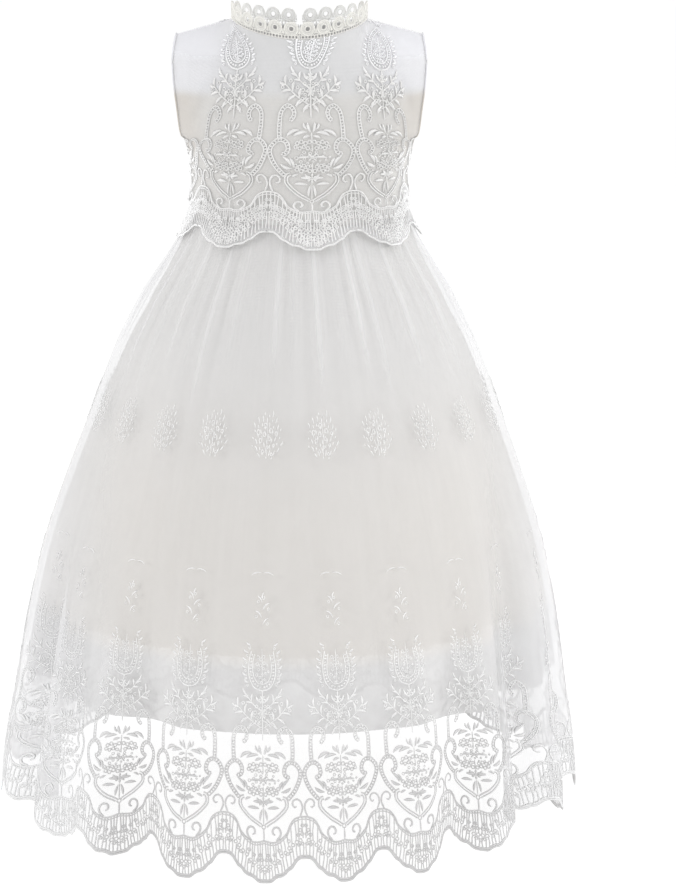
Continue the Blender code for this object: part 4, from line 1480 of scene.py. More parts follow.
    def sprigs(self) -> Strokes:
        """Draws the branch and the beaded drop above the cartouche, and the small leaves above those.

        Returns:
            The sprigs' threads.
        """
        made = Strokes()
        made.cord([(0, 117.0), (0, 157.0)], self.cord * 0.8)
        made.cord([(1.0, 127.0), (8.0, 131.5), (15.0, 136.5), (23.0, 144.5)], self.cord * 0.7, 2.4, True)
        made.cord([(14.0, 126.8), (9.0, 129.5), (3.5, 134.0)], self.cord * 0.9, 2.4, True)
        made.cord([(1.5, 141.0), (8.5, 146.0), (14.0, 153.0)], self.cord * 0.7, 2.4, True)
        made.leaves((
            ((8.5, 132.0), (12.8, 125.4), 2.3, 0.1), ((13.0, 135.0), (20.2, 130.4), 2.4, 0.12),
            ((17.4, 139.0), (26.2, 137.8), 2.5, 0.1), ((21.6, 143.4), (28.2, 146.4), 2.3, -0.1),
            ((22.4, 144.0), (22.4, 151.6), 2.3, -0.1), ((16.0, 138.2), (14.6, 146.4), 2.4, -0.1),
            ((10.0, 133.2), (8.6, 140.8), 2.3, -0.1), ((1.6, 128.0), (6.8, 121.2), 2.1, 0.1),
            ((8.6, 146.4), (15.4, 147.4), 2.1, 0.1), ((11.6, 149.8), (18.0, 152.8), 2.0, 0.1),
            ((9.8, 148.4), (9.0, 154.4), 2.0, -0.1), ((1.4, 147.4), (6.0, 153.2), 2.2, -0.12),
            ((1.2, 133.0), (5.0, 130.0), 1.8, 0.1), ((13.8, 152.4), (18.2, 159.0), 1.9, -0.1),
            ((0.8, 248.6), (11.6, 246.6), 1.1, 0.12),
        ))
        made.flower((0, 138.4), 5.0, 6, 1.5)
        made.flower((0, 149.8), 3.6, 6, 1.8)
        for spot in ((8.0, 137.2), (11.6, 141.4), (5.4, 144.4), (17.8, 146.8), (4.0, 125.4), (25.2, 141.6)):
            made.ring(spot, self.berry * 0.85, self.ring_half * 0.9, 7, True)
        made.cluster((0.0, 136.5), (10.5, 11.0), 20, 1.3)
        self._drop(made)
        for foot, x, height in self.loose_leaves:
            made.leaf((foot, height - 5.5), (x, height), 1.5, math.copysign(0.15, x), False)
            made.ring((0.8 * x, height - 4.5), 1.1, self.ring_half * 0.8)
        return made

    def _drop(self, made: Strokes) -> None:
        """Adds the double-beaded drop, pointed at its top or left open, with petals and rings round it.

        Args:
            made: The sprigs' threads.
        """
        outer = evenly(self.drop[: self.drop_rows], 2.4)
        made.add(outer, self.cord * 0.8, False, True)
        inner = (outer - (0, 176.0)) * (0.70, 0.76) + (0, 176.6)
        made.add(inner, self.cord * 0.65, False, True)
        between = (outer - (0, 176.0)) * (0.85, 0.88) + (0, 176.3)
        made.beads(between[1:-1], 2.6, 0.95, True)
        made.cluster((0.0, 174.5), (6.6, 11.5), self.drop_rings, 1.25)
        made.cord([(0, 162.0), (0, 190.0)], self.cord * 0.5, 4.0)
        for x, height in ((12.6, 163.0), (14.2, 168.6), (14.6, 174.6), (14.2, 180.6), (13.0, 186.6), (10.6, 192.4)):
            made.leaf((x, height), (x + 4.6, height + 2.6), 1.7, -0.1)
            made.ring((x + 1.2, height - 2.0), self.berry * 0.6, self.ring_half * 0.8, 6, True)

    def bouquet(self) -> Strokes:
        """Draws the small round bunch of flowers halfway up the skirt.

        Returns:
            The bunch's threads.
        """
        made = Strokes()
        made.cord([(0, 336.0), (0.8, 352.0), (0, 366.0)], self.cord * 0.5, 3.0)
        made.cluster((0.0, 353.5), (19.5, 19.0), 48, 4.6, True)
        made.cluster((0.6, 351.5), (13.5, 13.5), 11, 1.9)
        return made


@dataclass(frozen=True)
class RingChart:
    """One ring of the neck trim and its header, in millimetres: x from its axis, and the height above the seam."""

    pitch: float = 13.5
    centre: float = 7.3
    hole: float = 1.75
    radius: float = 6.2
    header: float = 2.0
    spokes: int = 22
    bars: int = 5

    def strokes(self) -> Strokes:
        """Draws the ring as stitches from its hole to its rim, and the header's ladder.

        Returns:
            The ring's threads.
        """
        made = Strokes()
        middle = np.array((0.0, self.centre))
        for radius, half, steps in (
            (self.hole + 0.5, 0.55, 14), (self.radius - 0.75, 0.75, 22), ((self.hole + self.radius) / 2 + 0.2, 0.42, 20)
        ):
            made.ring((0, self.centre), radius, half, steps)
        for angle in 2 * np.pi * (np.arange(self.spokes) + 0.5) / self.spokes:
            way = np.array((math.cos(angle), math.sin(angle)))
            points = [middle + way * reach for reach in (self.hole + 0.5, self.hole + 2.2, self.radius - 0.8)]
            made.add(points, np.array((0.30, 0.36, 0.40)))
        half = self.pitch / 2
        for height, wide in ((-0.9, 0.50), (self.header - 0.2, 0.46)):
            made.add([(-half, height), (0, height), (half, height)], wide)
        for i in range(self.bars):
            x = (i + 0.5) * self.pitch / self.bars - half
            made.add([(x, -0.9), (x + 0.2, 0.5), (x, self.header)], 0.55)
        made.add([(half - 2.4, self.header), (half - 0.5, 4.4), (half, 7.2)], 0.40, False, True)
        made.leaf((half - 0.2, 2.6), (half - 0.2, 5.4), 1.2)
        return made


# ================================================================ stitching
class StitchTree:
    """The tree that thickens a chart's threads, repeats them and lays them on the cloth."""

    name = "lay_threads_on_cloth"
    sockets = (
        ("Chart", "Object"), ("Cloth", "Object"), ("Repeats", "Int"), ("First axis", "Float"), ("Pitch", "Float"),
        ("Crowding", "Float"), ("Cloth width", "Float"), ("Thread sides", "Int"), ("Flatness", "Float"),
        ("Lift", "Float"), ("Finish", "Material"),
    )

    def __init__(self) -> None:
        """Builds the tree, with its sizes as named inputs."""
        tree = bpy.data.node_groups.new(self.name, "GeometryNodeTree")
        for name, kind in (("Geometry", "Geometry"), *self.sockets):
            tree.interface.new_socket(name, in_out="INPUT", socket_type="NodeSocket" + kind)
        tree.interface.new_socket("Geometry", in_out="OUTPUT", socket_type="NodeSocketGeometry")
        self.sheet = NodeSheet(tree)
        inputs = self.sheet.node("NodeGroupInput")
        self.given = {name: Signal(self.sheet, inputs.outputs[name]) for name, _ in self.sockets}
        smooth = self._add("GeometryNodeSetShadeSmooth", {"Geometry": self._laid(self._copies())})
        dressed = self._add("GeometryNodeSetMaterial", {"Geometry": smooth, "Material": self.given["Finish"]})
        self.sheet.node("NodeGroupOutput", {}, {0: dressed})

    def _add(self, kind: str, values: dict, output: int | str = 0, **settings: str) -> Signal:
        """Adds one node and gives one of its outputs."""
        return self.sheet.signal(kind, settings, values, output)

    def _along_x(self, x: Signal, rest: float = 0.0) -> Signal:
        """A vector with the given x."""
        return self._add("ShaderNodeCombineXYZ", {0: x, 1: rest, 2: rest})

    def _position(self, axis: int) -> Signal:
        """A coordinate of each point."""
        return self._add("ShaderNodeSeparateXYZ", {0: self._add("GeometryNodeInputPosition", {})}, axis)

    def _copies(self) -> Signal:
        """The chart's lines as round threads as wide as their points say, once for each repeat.

        Returns:
            The flat threads.
        """
        given = self.given
        chart = self._add("GeometryNodeObjectInfo", {"Object": given["Chart"]}, "Geometry")
        profile = self._add("GeometryNodeCurvePrimitiveCircle", {"Resolution": given["Thread sides"], "Radius": 1.0})
        wide = self._add("GeometryNodeInputRadius", {})
        sockets = {"Curve": chart, "Profile Curve": profile, "Scale": wide, "Fill Caps": True}
        threads = self._add("GeometryNodeCurveToMesh", sockets)
        start, offset = self._along_x(given["First axis"]), self._along_x(given["Pitch"])
        sockets = {"Count": given["Repeats"], "Start Location": start, "Offset": offset}
        sockets = {"Points": self._add("GeometryNodeMeshLine", sockets), "Instance": threads, "Scale": self._narrowed()}
        copies = self._add("GeometryNodeInstanceOnPoints", sockets)
        return self._add("GeometryNodeRealizeInstances", {"Geometry": copies})

    def _narrowed(self) -> Signal:
        """A copy's scale, narrower where the cloth hangs less crowded, so that all copies look as wide.

        Returns:
            The scale.
        """
        crowding = self.given["Crowding"]
        turned = (self._position(0) / self.given["Cloth width"] * (2 * math.pi)).math("COSINE")
        return self._along_x((1.0 - crowding) / (1.0 - crowding * turned), 1.0)

    def _sampled(self, value: Signal) -> bpy.types.Node:
        """Reads a value of the cloth at each thread's place on it.

        Args:
            value: What to read.

        Returns:
            The node, which also says whether the cloth reaches the place.
        """
        attribute = {"data_type": "FLOAT_VECTOR"}
        sockets = {
            "Mesh": self._add("GeometryNodeObjectInfo", {"Object": self.given["Cloth"]}, "Geometry"),
            "Value": value,
            "Source UV Map": self._add("GeometryNodeInputNamedAttribute", {"Name": "flat"}, **attribute),
            "Sample UV": self._add("GeometryNodeInputPosition", {}),
        }
        made = self.sheet.node("GeometryNodeSampleUVSurface", attribute)
        for socket in made.inputs:
            if socket.enabled and socket.identifier in sockets:
                self.sheet.tree.links.new(sockets[socket.identifier].socket, socket)
        return made

    def _laid(self, flat: Signal) -> Signal:
        """The threads laid on the cloth, without what lies past its edges.

        Args:
            flat: The flat threads.

        Returns:
            The threads.
        """
        spot = self._sampled(self._add("GeometryNodeInputPosition", {}))
        way = self._add("GeometryNodeInputNamedAttribute", {"Name": "way_out"}, data_type="FLOAT_VECTOR")
        out = Signal(self.sheet, self._sampled(way).outputs[0])
        off = self._add(
            "FunctionNodeBooleanMath", {0: Signal(self.sheet, spot.outputs["Is Valid"])}, operation="NOT"
        )
        sockets = {"Geometry": flat, "Name": "off_cloth", "Value": off}
        kept = self._add("GeometryNodeStoreNamedAttribute", sockets, data_type="BOOLEAN", domain="POINT")
        rise = self._position(2) * self.given["Flatness"] + self.given["Lift"]
        stand = self._add("ShaderNodeVectorMath", {0: out, "Scale": rise}, operation="SCALE")
        moved = self._add("ShaderNodeVectorMath", {0: Signal(self.sheet, spot.outputs[0]), 1: stand}, operation="ADD")
        down = self._add("GeometryNodeSetPosition", {"Geometry": kept, "Position": moved})
        off = self._add("GeometryNodeInputNamedAttribute", {"Name": "off_cloth"}, data_type="BOOLEAN")
        return self._add("GeometryNodeDeleteGeometry", {"Geometry": down, "Selection": off}, domain="POINT")


@dataclass
class Stitching:
    """Works a flat chart into cloth again and again, with Geometry Nodes."""

    sides: int = 4
    flatness: float = 0.55

    def work(self, name: str, chart: Strokes, cloth: bpy.types.Object, settings: dict) -> bpy.types.Object:
        """Works a chart into a cloth and gives the threads as one plain mesh.

        Args:
            name: The new piece's name.
            chart: The flat threads.
            cloth: The grid they lie on, with its flat UV map and its way_out attribute.
            settings: The tree's other inputs, by name.

        Returns:
            The embroidery.
        """
        if StitchTree.name not in bpy.data.node_groups:
            StitchTree()
        tree = bpy.data.node_groups[StitchTree.name]
        drawn = chart.as_curve(name + "_chart")
        holder = add_piece(name, bpy.data.meshes.new(name), None)
        modifier = holder.modifiers.new("stitching", "NODES")
        modifier.node_group = tree
        values = {
            "Chart": drawn, "Cloth": cloth, "Thread sides": self.sides, "Flatness": self.flatness,
            "Crowding": 0.0, "Cloth width": 1.0, "Lift": 0.0002, **settings,
        }
        identifiers = {item.name: item.identifier for item in tree.interface.items_tree if item.in_out == "INPUT"}
        for label, value in values.items():
            modifier[identifiers[label]] = value
        mesh = bpy.data.meshes.new_from_object(holder.evaluated_get(bpy.context.evaluated_depsgraph_get()))
        holder.modifiers.clear()
        holder.data = mesh
        mesh.name = name
        bpy.data.objects.remove(drawn)
        return holder


def carrier(name: str, points: Array, flat: Array) -> bpy.types.Object:
    """A grid that embroidery is laid on, and which is removed afterwards.

    Args:
        name: Its name.
        points: The cloth's points, rows by columns by 3.
        flat: Their place on the flat cloth.

    Returns:
        The grid's object, with the way out of the cloth as an attribute.
    """
    mesh = sheet_mesh(name, points, flat)
    run, rise = np.gradient(points, axis=1), np.gradient(points, axis=0)
    out = unit(np.cross(run, rise)).astype(np.float32)
    mesh.attributes.new("way_out", "FLOAT_VECTOR", "POINT").data.foreach_set("vector", out.ravel())
    return add_piece(name, mesh, None)


def dress(piece: bpy.types.Object, nodes: Sequence[str] = ()) -> None:
    """Hands a finished piece to the frame.

    Args:
        piece: The piece.
        nodes: The solids that it stands for.
    """
    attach(piece, "root")
    if nodes:
        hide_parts(*nodes)
    faces = sum(len(polygon.vertices) - 2 for polygon in piece.data.polygons)
    LOG.info("%-28s %7d triangles", piece.name, faces)


# ================================================================ bodice and lace top
@dataclass
class Bodice:
    """The plain satin base and the lace laid over it."""

    form: BodiceForm
    skirt: SkirtForm
    finishes: Finishes
    steps: int = 52
    rows: int = 42
    hang_rows: int = 8
    satin_inner: float = 0.0005
    satin_outer: float = 0.0011
    ground: float = 0.0020
    repeats: int = 8
    shift: float = 1 / 7
    height_scale: float = 1.013
    tuck: float = 0.0083
    tuck_start: float = 0.022
    tuck_height: float = 0.022
    low_z: float = -0.1845
    scallop: float = 0.0145
    flare: float = 0.0122
    waist_stand: float = 0.25
    boldness: float = 1.18
    thread_flatness: float = 0.75
    thread_lift: float = 0.0001
    worked_below: float = 0.003
    edge_cord: float = 0.00075
    # half the width of the cut cloth, its length, and the share of that rectangle that it fills
    satin_cut: tuple = (0.145, 0.19, 0.87)
    lace_cut: tuple = (0.14, 0.21, 0.84)
    chart_sizes: ClassVar[dict[str, float]] = {"hem_cord": 0.36, "picot": 0.85, "knot_rows": 5, "drop_rings": 30}
    inner_axes: ClassVar[dict[str, tuple[int, int]]] = {"front": (-1, 1), "back_left": (3, 4), "back_right": (4, 5)}
    creases: tuple[Crease, ...] = (
        Crease((0.030, 0.150), (0.058, 0.120), 0.0012, 0.009),
        Crease((-0.118, 0.118), (-0.092, 0.150), 0.0012, 0.010),
        Crease((-0.075, 0.160), (-0.045, 0.128), 0.0010, 0.008),
        Crease((0.110, 0.128), (0.086, 0.158), 0.0011, 0.010),
        Crease((-0.125, 0.060), (-0.085, 0.085), 0.0012, 0.010),
        Crease((0.120, 0.050), (0.085, 0.078), 0.0013, 0.011),
        Crease((0.165, 0.120), (0.190, 0.150), 0.0012, 0.010),
        Crease((0.385, 0.125), (0.360, 0.155), 0.0012, 0.010),
        Crease((0.200, 0.055), (0.235, 0.080), 0.0013, 0.011),
        Crease((0.340, 0.050), (0.310, 0.082), 0.0012, 0.011),
    )

    def build(self) -> None:
        """Makes the three panels of each layer, with their embroidery."""
        for name in ("front", "back_left", "back_right"):
            panel = Panel.cut(name, self.steps)
            self._satin(panel)
            self._lace(panel)

    def _body(self, panel: Panel) -> tuple[Array, Array, Array]:
        """The body under a panel, from the waist to the neck.

        Args:
            panel: The panel.

        Returns:
            Its points, the way out there, and the length up the cloth from the lace's low line.
        """
        form = self.form
        place = np.linspace(0.0, form.top_place, self.rows + 1)[:, None]
        body = form.point(panel.share[None], place, panel.facing)
        steps = np.linalg.norm(np.diff(body, axis=0), axis=-1)
        arc = np.concatenate([np.zeros((1, body.shape[1])), np.cumsum(steps, axis=0)])
        return body, form.way_out(panel.share[None], place, panel.facing), arc + (form.waist_z - self.low_z)

    def _flat(self, panel: Panel, up: Array) -> Array:
        """The place on the flat cloth; a tuck above the waist takes some of the lace up.

        Args:
            panel: The panel.
            up: The length up from the lace's low line.

        Returns:
            The places.
        """
        up = (up + self.tuck * smooth_step((up - self.tuck_start) / self.tuck_height)) / self.height_scale
        across = (panel.turn * self.repeats - self.shift) * self.skirt.pitch
        return np.stack([np.broadcast_to(across, up.shape), up], axis=-1)

    def _grid(self, panel: Panel, bottom: Array) -> tuple[Array, Array]:
        """The lace top's grid from its lower edge, which hangs free, to the neck.

        Args:
            panel: The panel.
            bottom: The height of its lower edge at each column.

        Returns:
            Its points, and their places on the flat cloth.
        """
        form = self.form
        at_waist = (panel.share, np.zeros(len(panel.share)), panel.facing)
        hang = np.linspace(0.0, 1.0, self.hang_rows + 1)[:-1, None]
        z = bottom + (form.waist_z - bottom) * hang
        drop = (form.waist_z - z) / (form.waist_z - self.low_z)
        stand = self.ground + self.flare * (self.waist_stand + (1 - self.waist_stand) * drop)
        hanging = form.point(*at_waist) + form.way_out(*at_waist) * stand[..., None]
        hanging[..., 2] = z
        body, out, up = self._body(panel)
        flat = self._flat(panel, np.concatenate([z - self.low_z, up]))
        spread = 1 - smooth_step(np.linspace(0.0, form.top_place, self.rows + 1)[:, None])
        stand = self.ground + self.waist_stand * self.flare * spread - creased(flat[self.hang_rows :], self.creases)
        return form.placed(np.concatenate([hanging, body + out * stand[..., None]]), panel), flat

    def _cut(self, panel: Panel, size: tuple, rests_on: str) -> dict:
        """Args:
            panel: The panel.
            size: Half its width, its length, and the share of that rectangle that it fills.
            rests_on: The piece that it lies on.

        Returns:
            The sheet's values, by name.
        """
        half_width, length, share = size
        width = half_width * (2 if panel.facing < 0 else 1)
        area = round(width * length * share, 4)
        return {"flat": (width, length), "held": "hung", "rests_on": [rests_on], "area": area}

    def _satin(self, panel: Panel) -> None:
        """Makes a panel of the base.

        Args:
            panel: The panel.
        """
        body, out, up = self._body(panel)
        flat = self._flat(panel, up)
        sunk = creased(flat, self.creases)
        inner, outer = (
            self.form.placed(body + out * (stand - sunk)[..., None], panel)
            for stand in (self.satin_inner, self.satin_outer)
        )
        name = f"satin_bodice_{panel.name}"
        piece = add_piece(name, wall_mesh(name, inner, outer, flat), self.finishes.bodice)
        cut = self._cut(panel, self.satin_cut, f"neck_trim_{panel.name}")
        dress(piece, [f"bodice_{panel.name}"])

    def _lace(self, panel: Panel) -> None:
        """Makes a panel of the lace top: the net, its embroidery and the cords along its armholes.

        Args:
            panel: The panel.
        """
        phase = panel.turn * self.repeats - self.shift
        points, flat = self._grid(panel, self.low_z + self.scallop * self.skirt.scallops(phase))
        name = f"lace_top_net_{panel.name}"
        net = add_piece(name, sheet_mesh(name, points, flat), self.finishes.ground)
        cloth = carrier("bodice_cloth", *self._grid(panel, np.full(len(phase), self.low_z - self.worked_below)))
        whole = (math.floor(phase[0] + 0.001), math.ceil(phase[-1] - 0.001))
        chart = LaceChart(scallop_depth=self.scallop / self.height_scale * 1000, **self.chart_sizes)
        pitch = self.skirt.pitch
        settings = {"Pitch": pitch, "Lift": self.thread_lift, "Finish": self.finishes.thread}
        laid = []
        for part in ("hem_band", "cartouche", "crown", "sprigs"):
            low, high = self.inner_axes[panel.name] if part in ("crown", "sprigs") else whole
            place = {"Repeats": high - low + 1, "First axis": low * pitch, **settings}
            strokes = getattr(chart, part)().bolder(self.boldness)
            stitching = Stitching(flatness=self.thread_flatness)
            laid.append(stitching.work(f"bodice_{part}_{panel.name}", strokes, cloth, place))
        bpy.data.objects.remove(cloth)
        laid += self._bound_edges(panel, points)
        for piece in laid:
            dress(piece)
        cut = {**self._cut(panel, self.lace_cut, f"satin_bodice_{panel.name}"), "with_pieces": laid}
        dress(net, [f"lace_top_{panel.name}"])

    def _bound_edges(self, panel: Panel, points: Array) -> list[bpy.types.Object]:
        """Makes the narrow bound edge along each armhole of a panel.

        Args:
            panel: The panel.
            points: The lace top's points.

        Returns:
            The cords.
        """
        underarm = self.hang_rows + round(self.rows * self.form.underarm_place / self.form.top_place)
        ends = {"front": (("right", 0), ("left", -1)), "back_left": (("left", 0),), "back_right": (("right", -1),)}
        made = []
        for side, column in ends[panel.name]:
            label = f"armhole_edge_{panel.name}_{side}"
            mesh = tube_mesh(label, points[underarm:, column], self.edge_cord, 8)
            made.append(add_piece(label, mesh, self.finishes.bodice))
        return made


# ================================================================ neck trim
@dataclass
class NeckTrim:
    """The standing trim of lace rings round the neck, in three lengths."""

    form: BodiceForm
    finishes: Finishes
    rings: int = 24
    back_gap: float = 0.0048
    cloth_walls: float = 0.0027
    samples: int = 720
    strip_columns: int = 360
    # the strip's lowest row, its highest one and how many it has
    strip_rows: tuple = (-0.0030, 0.0165, 10)

    def path(self) -> tuple[Array, Array]:
        """Measures the neck seam.

        Returns:
            The running length from the centre back, and the angle from the centre front at each length.
        """
        angles = 2 * np.pi * np.arange(self.samples + 1) / self.samples - np.pi
        steps = np.linalg.norm(np.diff(self.form.neckline(angles), axis=0), axis=1)
        return np.concatenate([[0.0], np.cumsum(steps)]), angles

    def seam_rise(self, angle: Array) -> Array:
        """How far the bodice's wall rises at the neck seam for each metre of its thickness.

        Args:
            angle: Angles from the centre front.

        Returns:
            The rise at each.
        """
        folded = np.abs(np.arctan2(np.sin(angle), np.cos(angle)))
        in_front = folded <= np.pi / 2
        share = np.where(in_front, folded, np.pi - folded) / (np.pi / 2) * self.form.neck_share
        top = np.full(share.shape, self.form.top_place)
        front, back = (self.form.way_out(share, top, facing)[..., 2] for facing in (-1, 1))
        return np.maximum(np.where(in_front, front, back), 0.0)

    def cloth(self) -> bpy.types.Object:
        """The strip round the neck that the rings are worked on.

        Returns:
            The strip.
        """
        lengths, angles = self.path()
        distance = np.linspace(0.0, lengths[-1], self.strip_columns + 1)
        angle = np.interp(distance, lengths, angles)
        way = self.form.neckline(angle + 0.01) - self.form.neckline(angle - 0.01)
        out = unit(np.stack([way[:, 1], -way[:, 0], np.zeros(len(way))], axis=1))
        seam = self.form.neckline(angle) + out * self.cloth_walls / 2
        height = np.linspace(*self.strip_rows)
        points = np.broadcast_to(seam, (len(height), *seam.shape)).copy()
        points[..., 2] += self.seam_rise(angle) * self.cloth_walls + self.form.seam_gap + height[:, None]
        flat = np.stack(np.broadcast_arrays(distance[None], height[:, None]), axis=-1)
        return carrier("neck_cloth", points, flat)

    def build(self) -> None:
        """Makes the trim's three lengths."""
        lengths, _ = self.path()
        pitch = (lengths[-1] - self.back_gap) / self.rings
        cloth = self.cloth()
        chart = RingChart(pitch=pitch * 1000).strokes()
        quarter = self.rings // 4
        parts = (("back_right", 0, quarter), ("front", quarter, 2 * quarter), ("back_left", 3 * quarter, quarter))
        for place, first, count in parts:
            settings = {
                "Repeats": count, "First axis": self.back_gap / 2 + (first + 0.5) * pitch, "Pitch": pitch,
                "Lift": 0.0, "Finish": self.finishes.trim_thread,
            }
            trim = Stitching(sides=5, flatness=0.75).work(f"ring_trim_{place}", chart, cloth, settings)
            dress(trim, [f"neck_trim_{place}"])
        bpy.data.objects.remove(cloth)


# ================================================================ skirt
@dataclass(frozen=True)
class SkirtHalf:
    """The front or the back of the skirt, between the turns of its side seams."""

    name: str
    first: float
    last: float

    def turns(self, columns: int, spare: float = 0.0) -> Array:
        """The turns of the cloth's columns, as one row.

        Args:
            columns: The columns in a whole turn.
            spare: How far the cloth reaches past each side seam, in turns.

        Returns:
            The turns.
        """
        count = round((self.last - self.first + 2 * spare) * columns)
        return np.linspace(self.first - spare, self.last + spare, count + 1)[None]


@dataclass
class Skirt:
    """The lining, the plain net and the embroidered net, each a front and a back."""

    form: SkirtForm
    finishes: Finishes
    lace_columns: int = 640
    lace_rows: int = 66
    inner_columns: int = 300
    inner_rows: int = 42
    net_stand: float = 0.0007
    lining_stand: float = 0.0003
    lining_wall: float = 0.0007
    lining_length: float = 0.36
    net_length: float = 0.42
    lace_length: float = 0.545
    # the widths of the plain cloths as shares of the embroidered net's
    lining_full: float = 0.80
    net_full: float = 0.90
    # the lining's turned-up hem: its depth, how far it stands out, and the height of the slope at its edge
    hem_depth: float = 0.018
    hem_rise: float = 0.0003
    hem_step: float = 0.0015
    # the lining's creases come in over this height below the waist
    crease_start: float = 0.12
    # the embroidery's rows on the cloth, close together where it is dense
    worked_rows: tuple = ((-0.004, 0.26, 67), (0.27, 0.40, 14))
    worked_past_seam: float = 0.026
    boldness: ClassVar[dict[str, float]] = {
        "hem_band": 1.1, "cartouche": 1.1, "crown": 1.1, "sprigs": 0.78, "bouquet": 0.72,
    }
    lining_creases: tuple[Crease, ...] = (
        Crease((-0.235, 0.490), (-0.300, 0.180), 0.0030, 0.030),
        Crease((-0.120, 0.500), (-0.150, 0.230), 0.0022, 0.024),
        Crease((-0.020, 0.490), (-0.030, 0.260), 0.0018, 0.022),
        Crease((0.090, 0.500), (0.115, 0.200), 0.0024, 0.026),
        Crease((0.200, 0.490), (0.250, 0.220), 0.0028, 0.028),
        Crease((0.330, 0.480), (0.350, 0.240), 0.0020, 0.026),
        Crease((0.480, 0.490), (0.500, 0.200), 0.0026, 0.028),
        Crease((0.620, 0.490), (0.640, 0.240), 0.0022, 0.026),
        Crease((0.770, 0.490), (0.740, 0.210), 0.0026, 0.028),
        Crease((0.900, 0.480), (0.890, 0.240), 0.0020, 0.026),
        Crease((1.030, 0.490), (1.060, 0.220), 0.0026, 0.028),
    )

    def build(self) -> None:
        """Makes the six panels and the embroidery."""
        side = self.form.side_turn
        for half in (SkirtHalf("front", -side, side), SkirtHalf("back", side, 1 - side)):
            self._lining(half)
            self._plain_net(half)
            self._lace(half)

    def _flat(self, turn: Array, up: Array) -> Array:
        """The place on the flat cloth of each turn and height."""
        return np.stack(np.broadcast_arrays(turn * self.form.cloth_width, up), axis=-1)

    def _cut(self, half: SkirtHalf, length: float, rests_on: str, full: float = 1.0) -> dict:
        """Args:
            half: The front or the back.
            length: The length of the cloth.
            rests_on: The piece that it lies on.
            full: Its width as a share of the embroidered net's.

        Returns:
            The sheet's values, by name.
        """
        width = round((half.last - half.first) * self.form.cloth_width * full, 3)
        return {"flat": (width, length), "held": "gathered", "rests_on": [rests_on]}

    def _inner_grid(self, half: SkirtHalf, hem_z: float) -> tuple[Array, Array, Array]:
        """The grid of an inner layer.

        Args:
            half: The front or the back.
            hem_z: The height of its hem.

        Returns:
            The turns of its columns, the heights of its points, and their places on the flat cloth.
        """
        turn = half.turns(self.inner_columns)
        share = np.linspace(0.0, 1.0, self.inner_rows + 1)[:, None]
        z = np.broadcast_to(hem_z + (self.form.top_z - hem_z) * share, (len(share), turn.size))
        return turn, z, self._flat(turn, z - self.form.low_z)

    def _lining(self, half: SkirtHalf) -> None:
        """Makes a panel of the satin lining, with its turned-up hem.

        Args:
            half: The front or the back.
        """
        form = self.form
        turn, z, flat = self._inner_grid(half, form.lining_hem_z)
        sunk = creased(flat, self.lining_creases) * smooth_step((form.top_z - z) / self.crease_start)
        turned_up = self.hem_rise * smooth_step((form.lining_hem_z + self.hem_depth - z) / self.hem_step)
        inner = form.point(turn, z, Layer.LINING, self.lining_stand)
        way = unit(inner - form.point(turn, z, Layer.LINING))
        outer = inner + way * (self.lining_wall + turned_up - sunk)[..., None]
        inner = inner - way * sunk[..., None]
        name = f"satin_lining_{half.name}"
        piece = add_piece(name, wall_mesh(name, inner, outer, flat), self.finishes.lining)
        bodice = "satin_bodice_front" if half.name == "front" else "satin_bodice_back_left"
        cut = self._cut(half, self.lining_length, bodice, self.lining_full)
        dress(piece, [f"skirt_lining_{half.name}"])

    def _plain_net(self, half: SkirtHalf) -> None:
        """Makes a panel of the plain net.

        Args:
            half: The front or the back.
        """
        turn, z, flat = self._inner_grid(half, self.form.net_hem_z)
        name = f"plain_net_{half.name}"
        points = self.form.point(turn, z, Layer.NET, self.net_stand)
        piece = add_piece(name, sheet_mesh(name, points, flat), self.finishes.net)
        cut = self._cut(half, self.net_length, f"satin_lining_{half.name}", self.net_full)
        dress(piece, [f"skirt_net_{half.name}"])

    def _lace(self, half: SkirtHalf) -> None:
        """Makes a panel of the embroidered net with its embroidery.

        Args:
            half: The front or the back.
        """
        form = self.form
        turn = half.turns(self.lace_columns)
        share = np.linspace(0.0, 1.0, self.lace_rows + 1)[:, None]
        hem = form.hem_height(turn)
        points, z, flat = self._lace_grid(turn, hem + (form.height - hem) * share)
        name = f"lace_net_{half.name}"
        piece = add_piece(name, sheet_mesh(name, points, flat, form.folds(turn, z)), self.finishes.lace)
        worked = self._embroidery(half)
        for stitched in worked:
            dress(stitched)
        cut = {**self._cut(half, self.lace_length, f"plain_net_{half.name}"), "with_pieces": worked}
        dress(piece, [f"skirt_lace_{half.name}"])

    def _lace_grid(self, turn: Array, up: Array) -> tuple[Array, Array, Array]:
        """A grid of the embroidered net.

        Args:
            turn: The turns of its columns.
            up: The heights of its points on the flat cloth.

        Returns:
            Its points, the heights at which they hang, and their places on the flat cloth.
        """
        z = self.form.cloth_z(np.broadcast_to(turn, up.shape), up)
        return self.form.point(turn, z, Layer.LACE, self.net_stand), z, self._flat(turn, up)

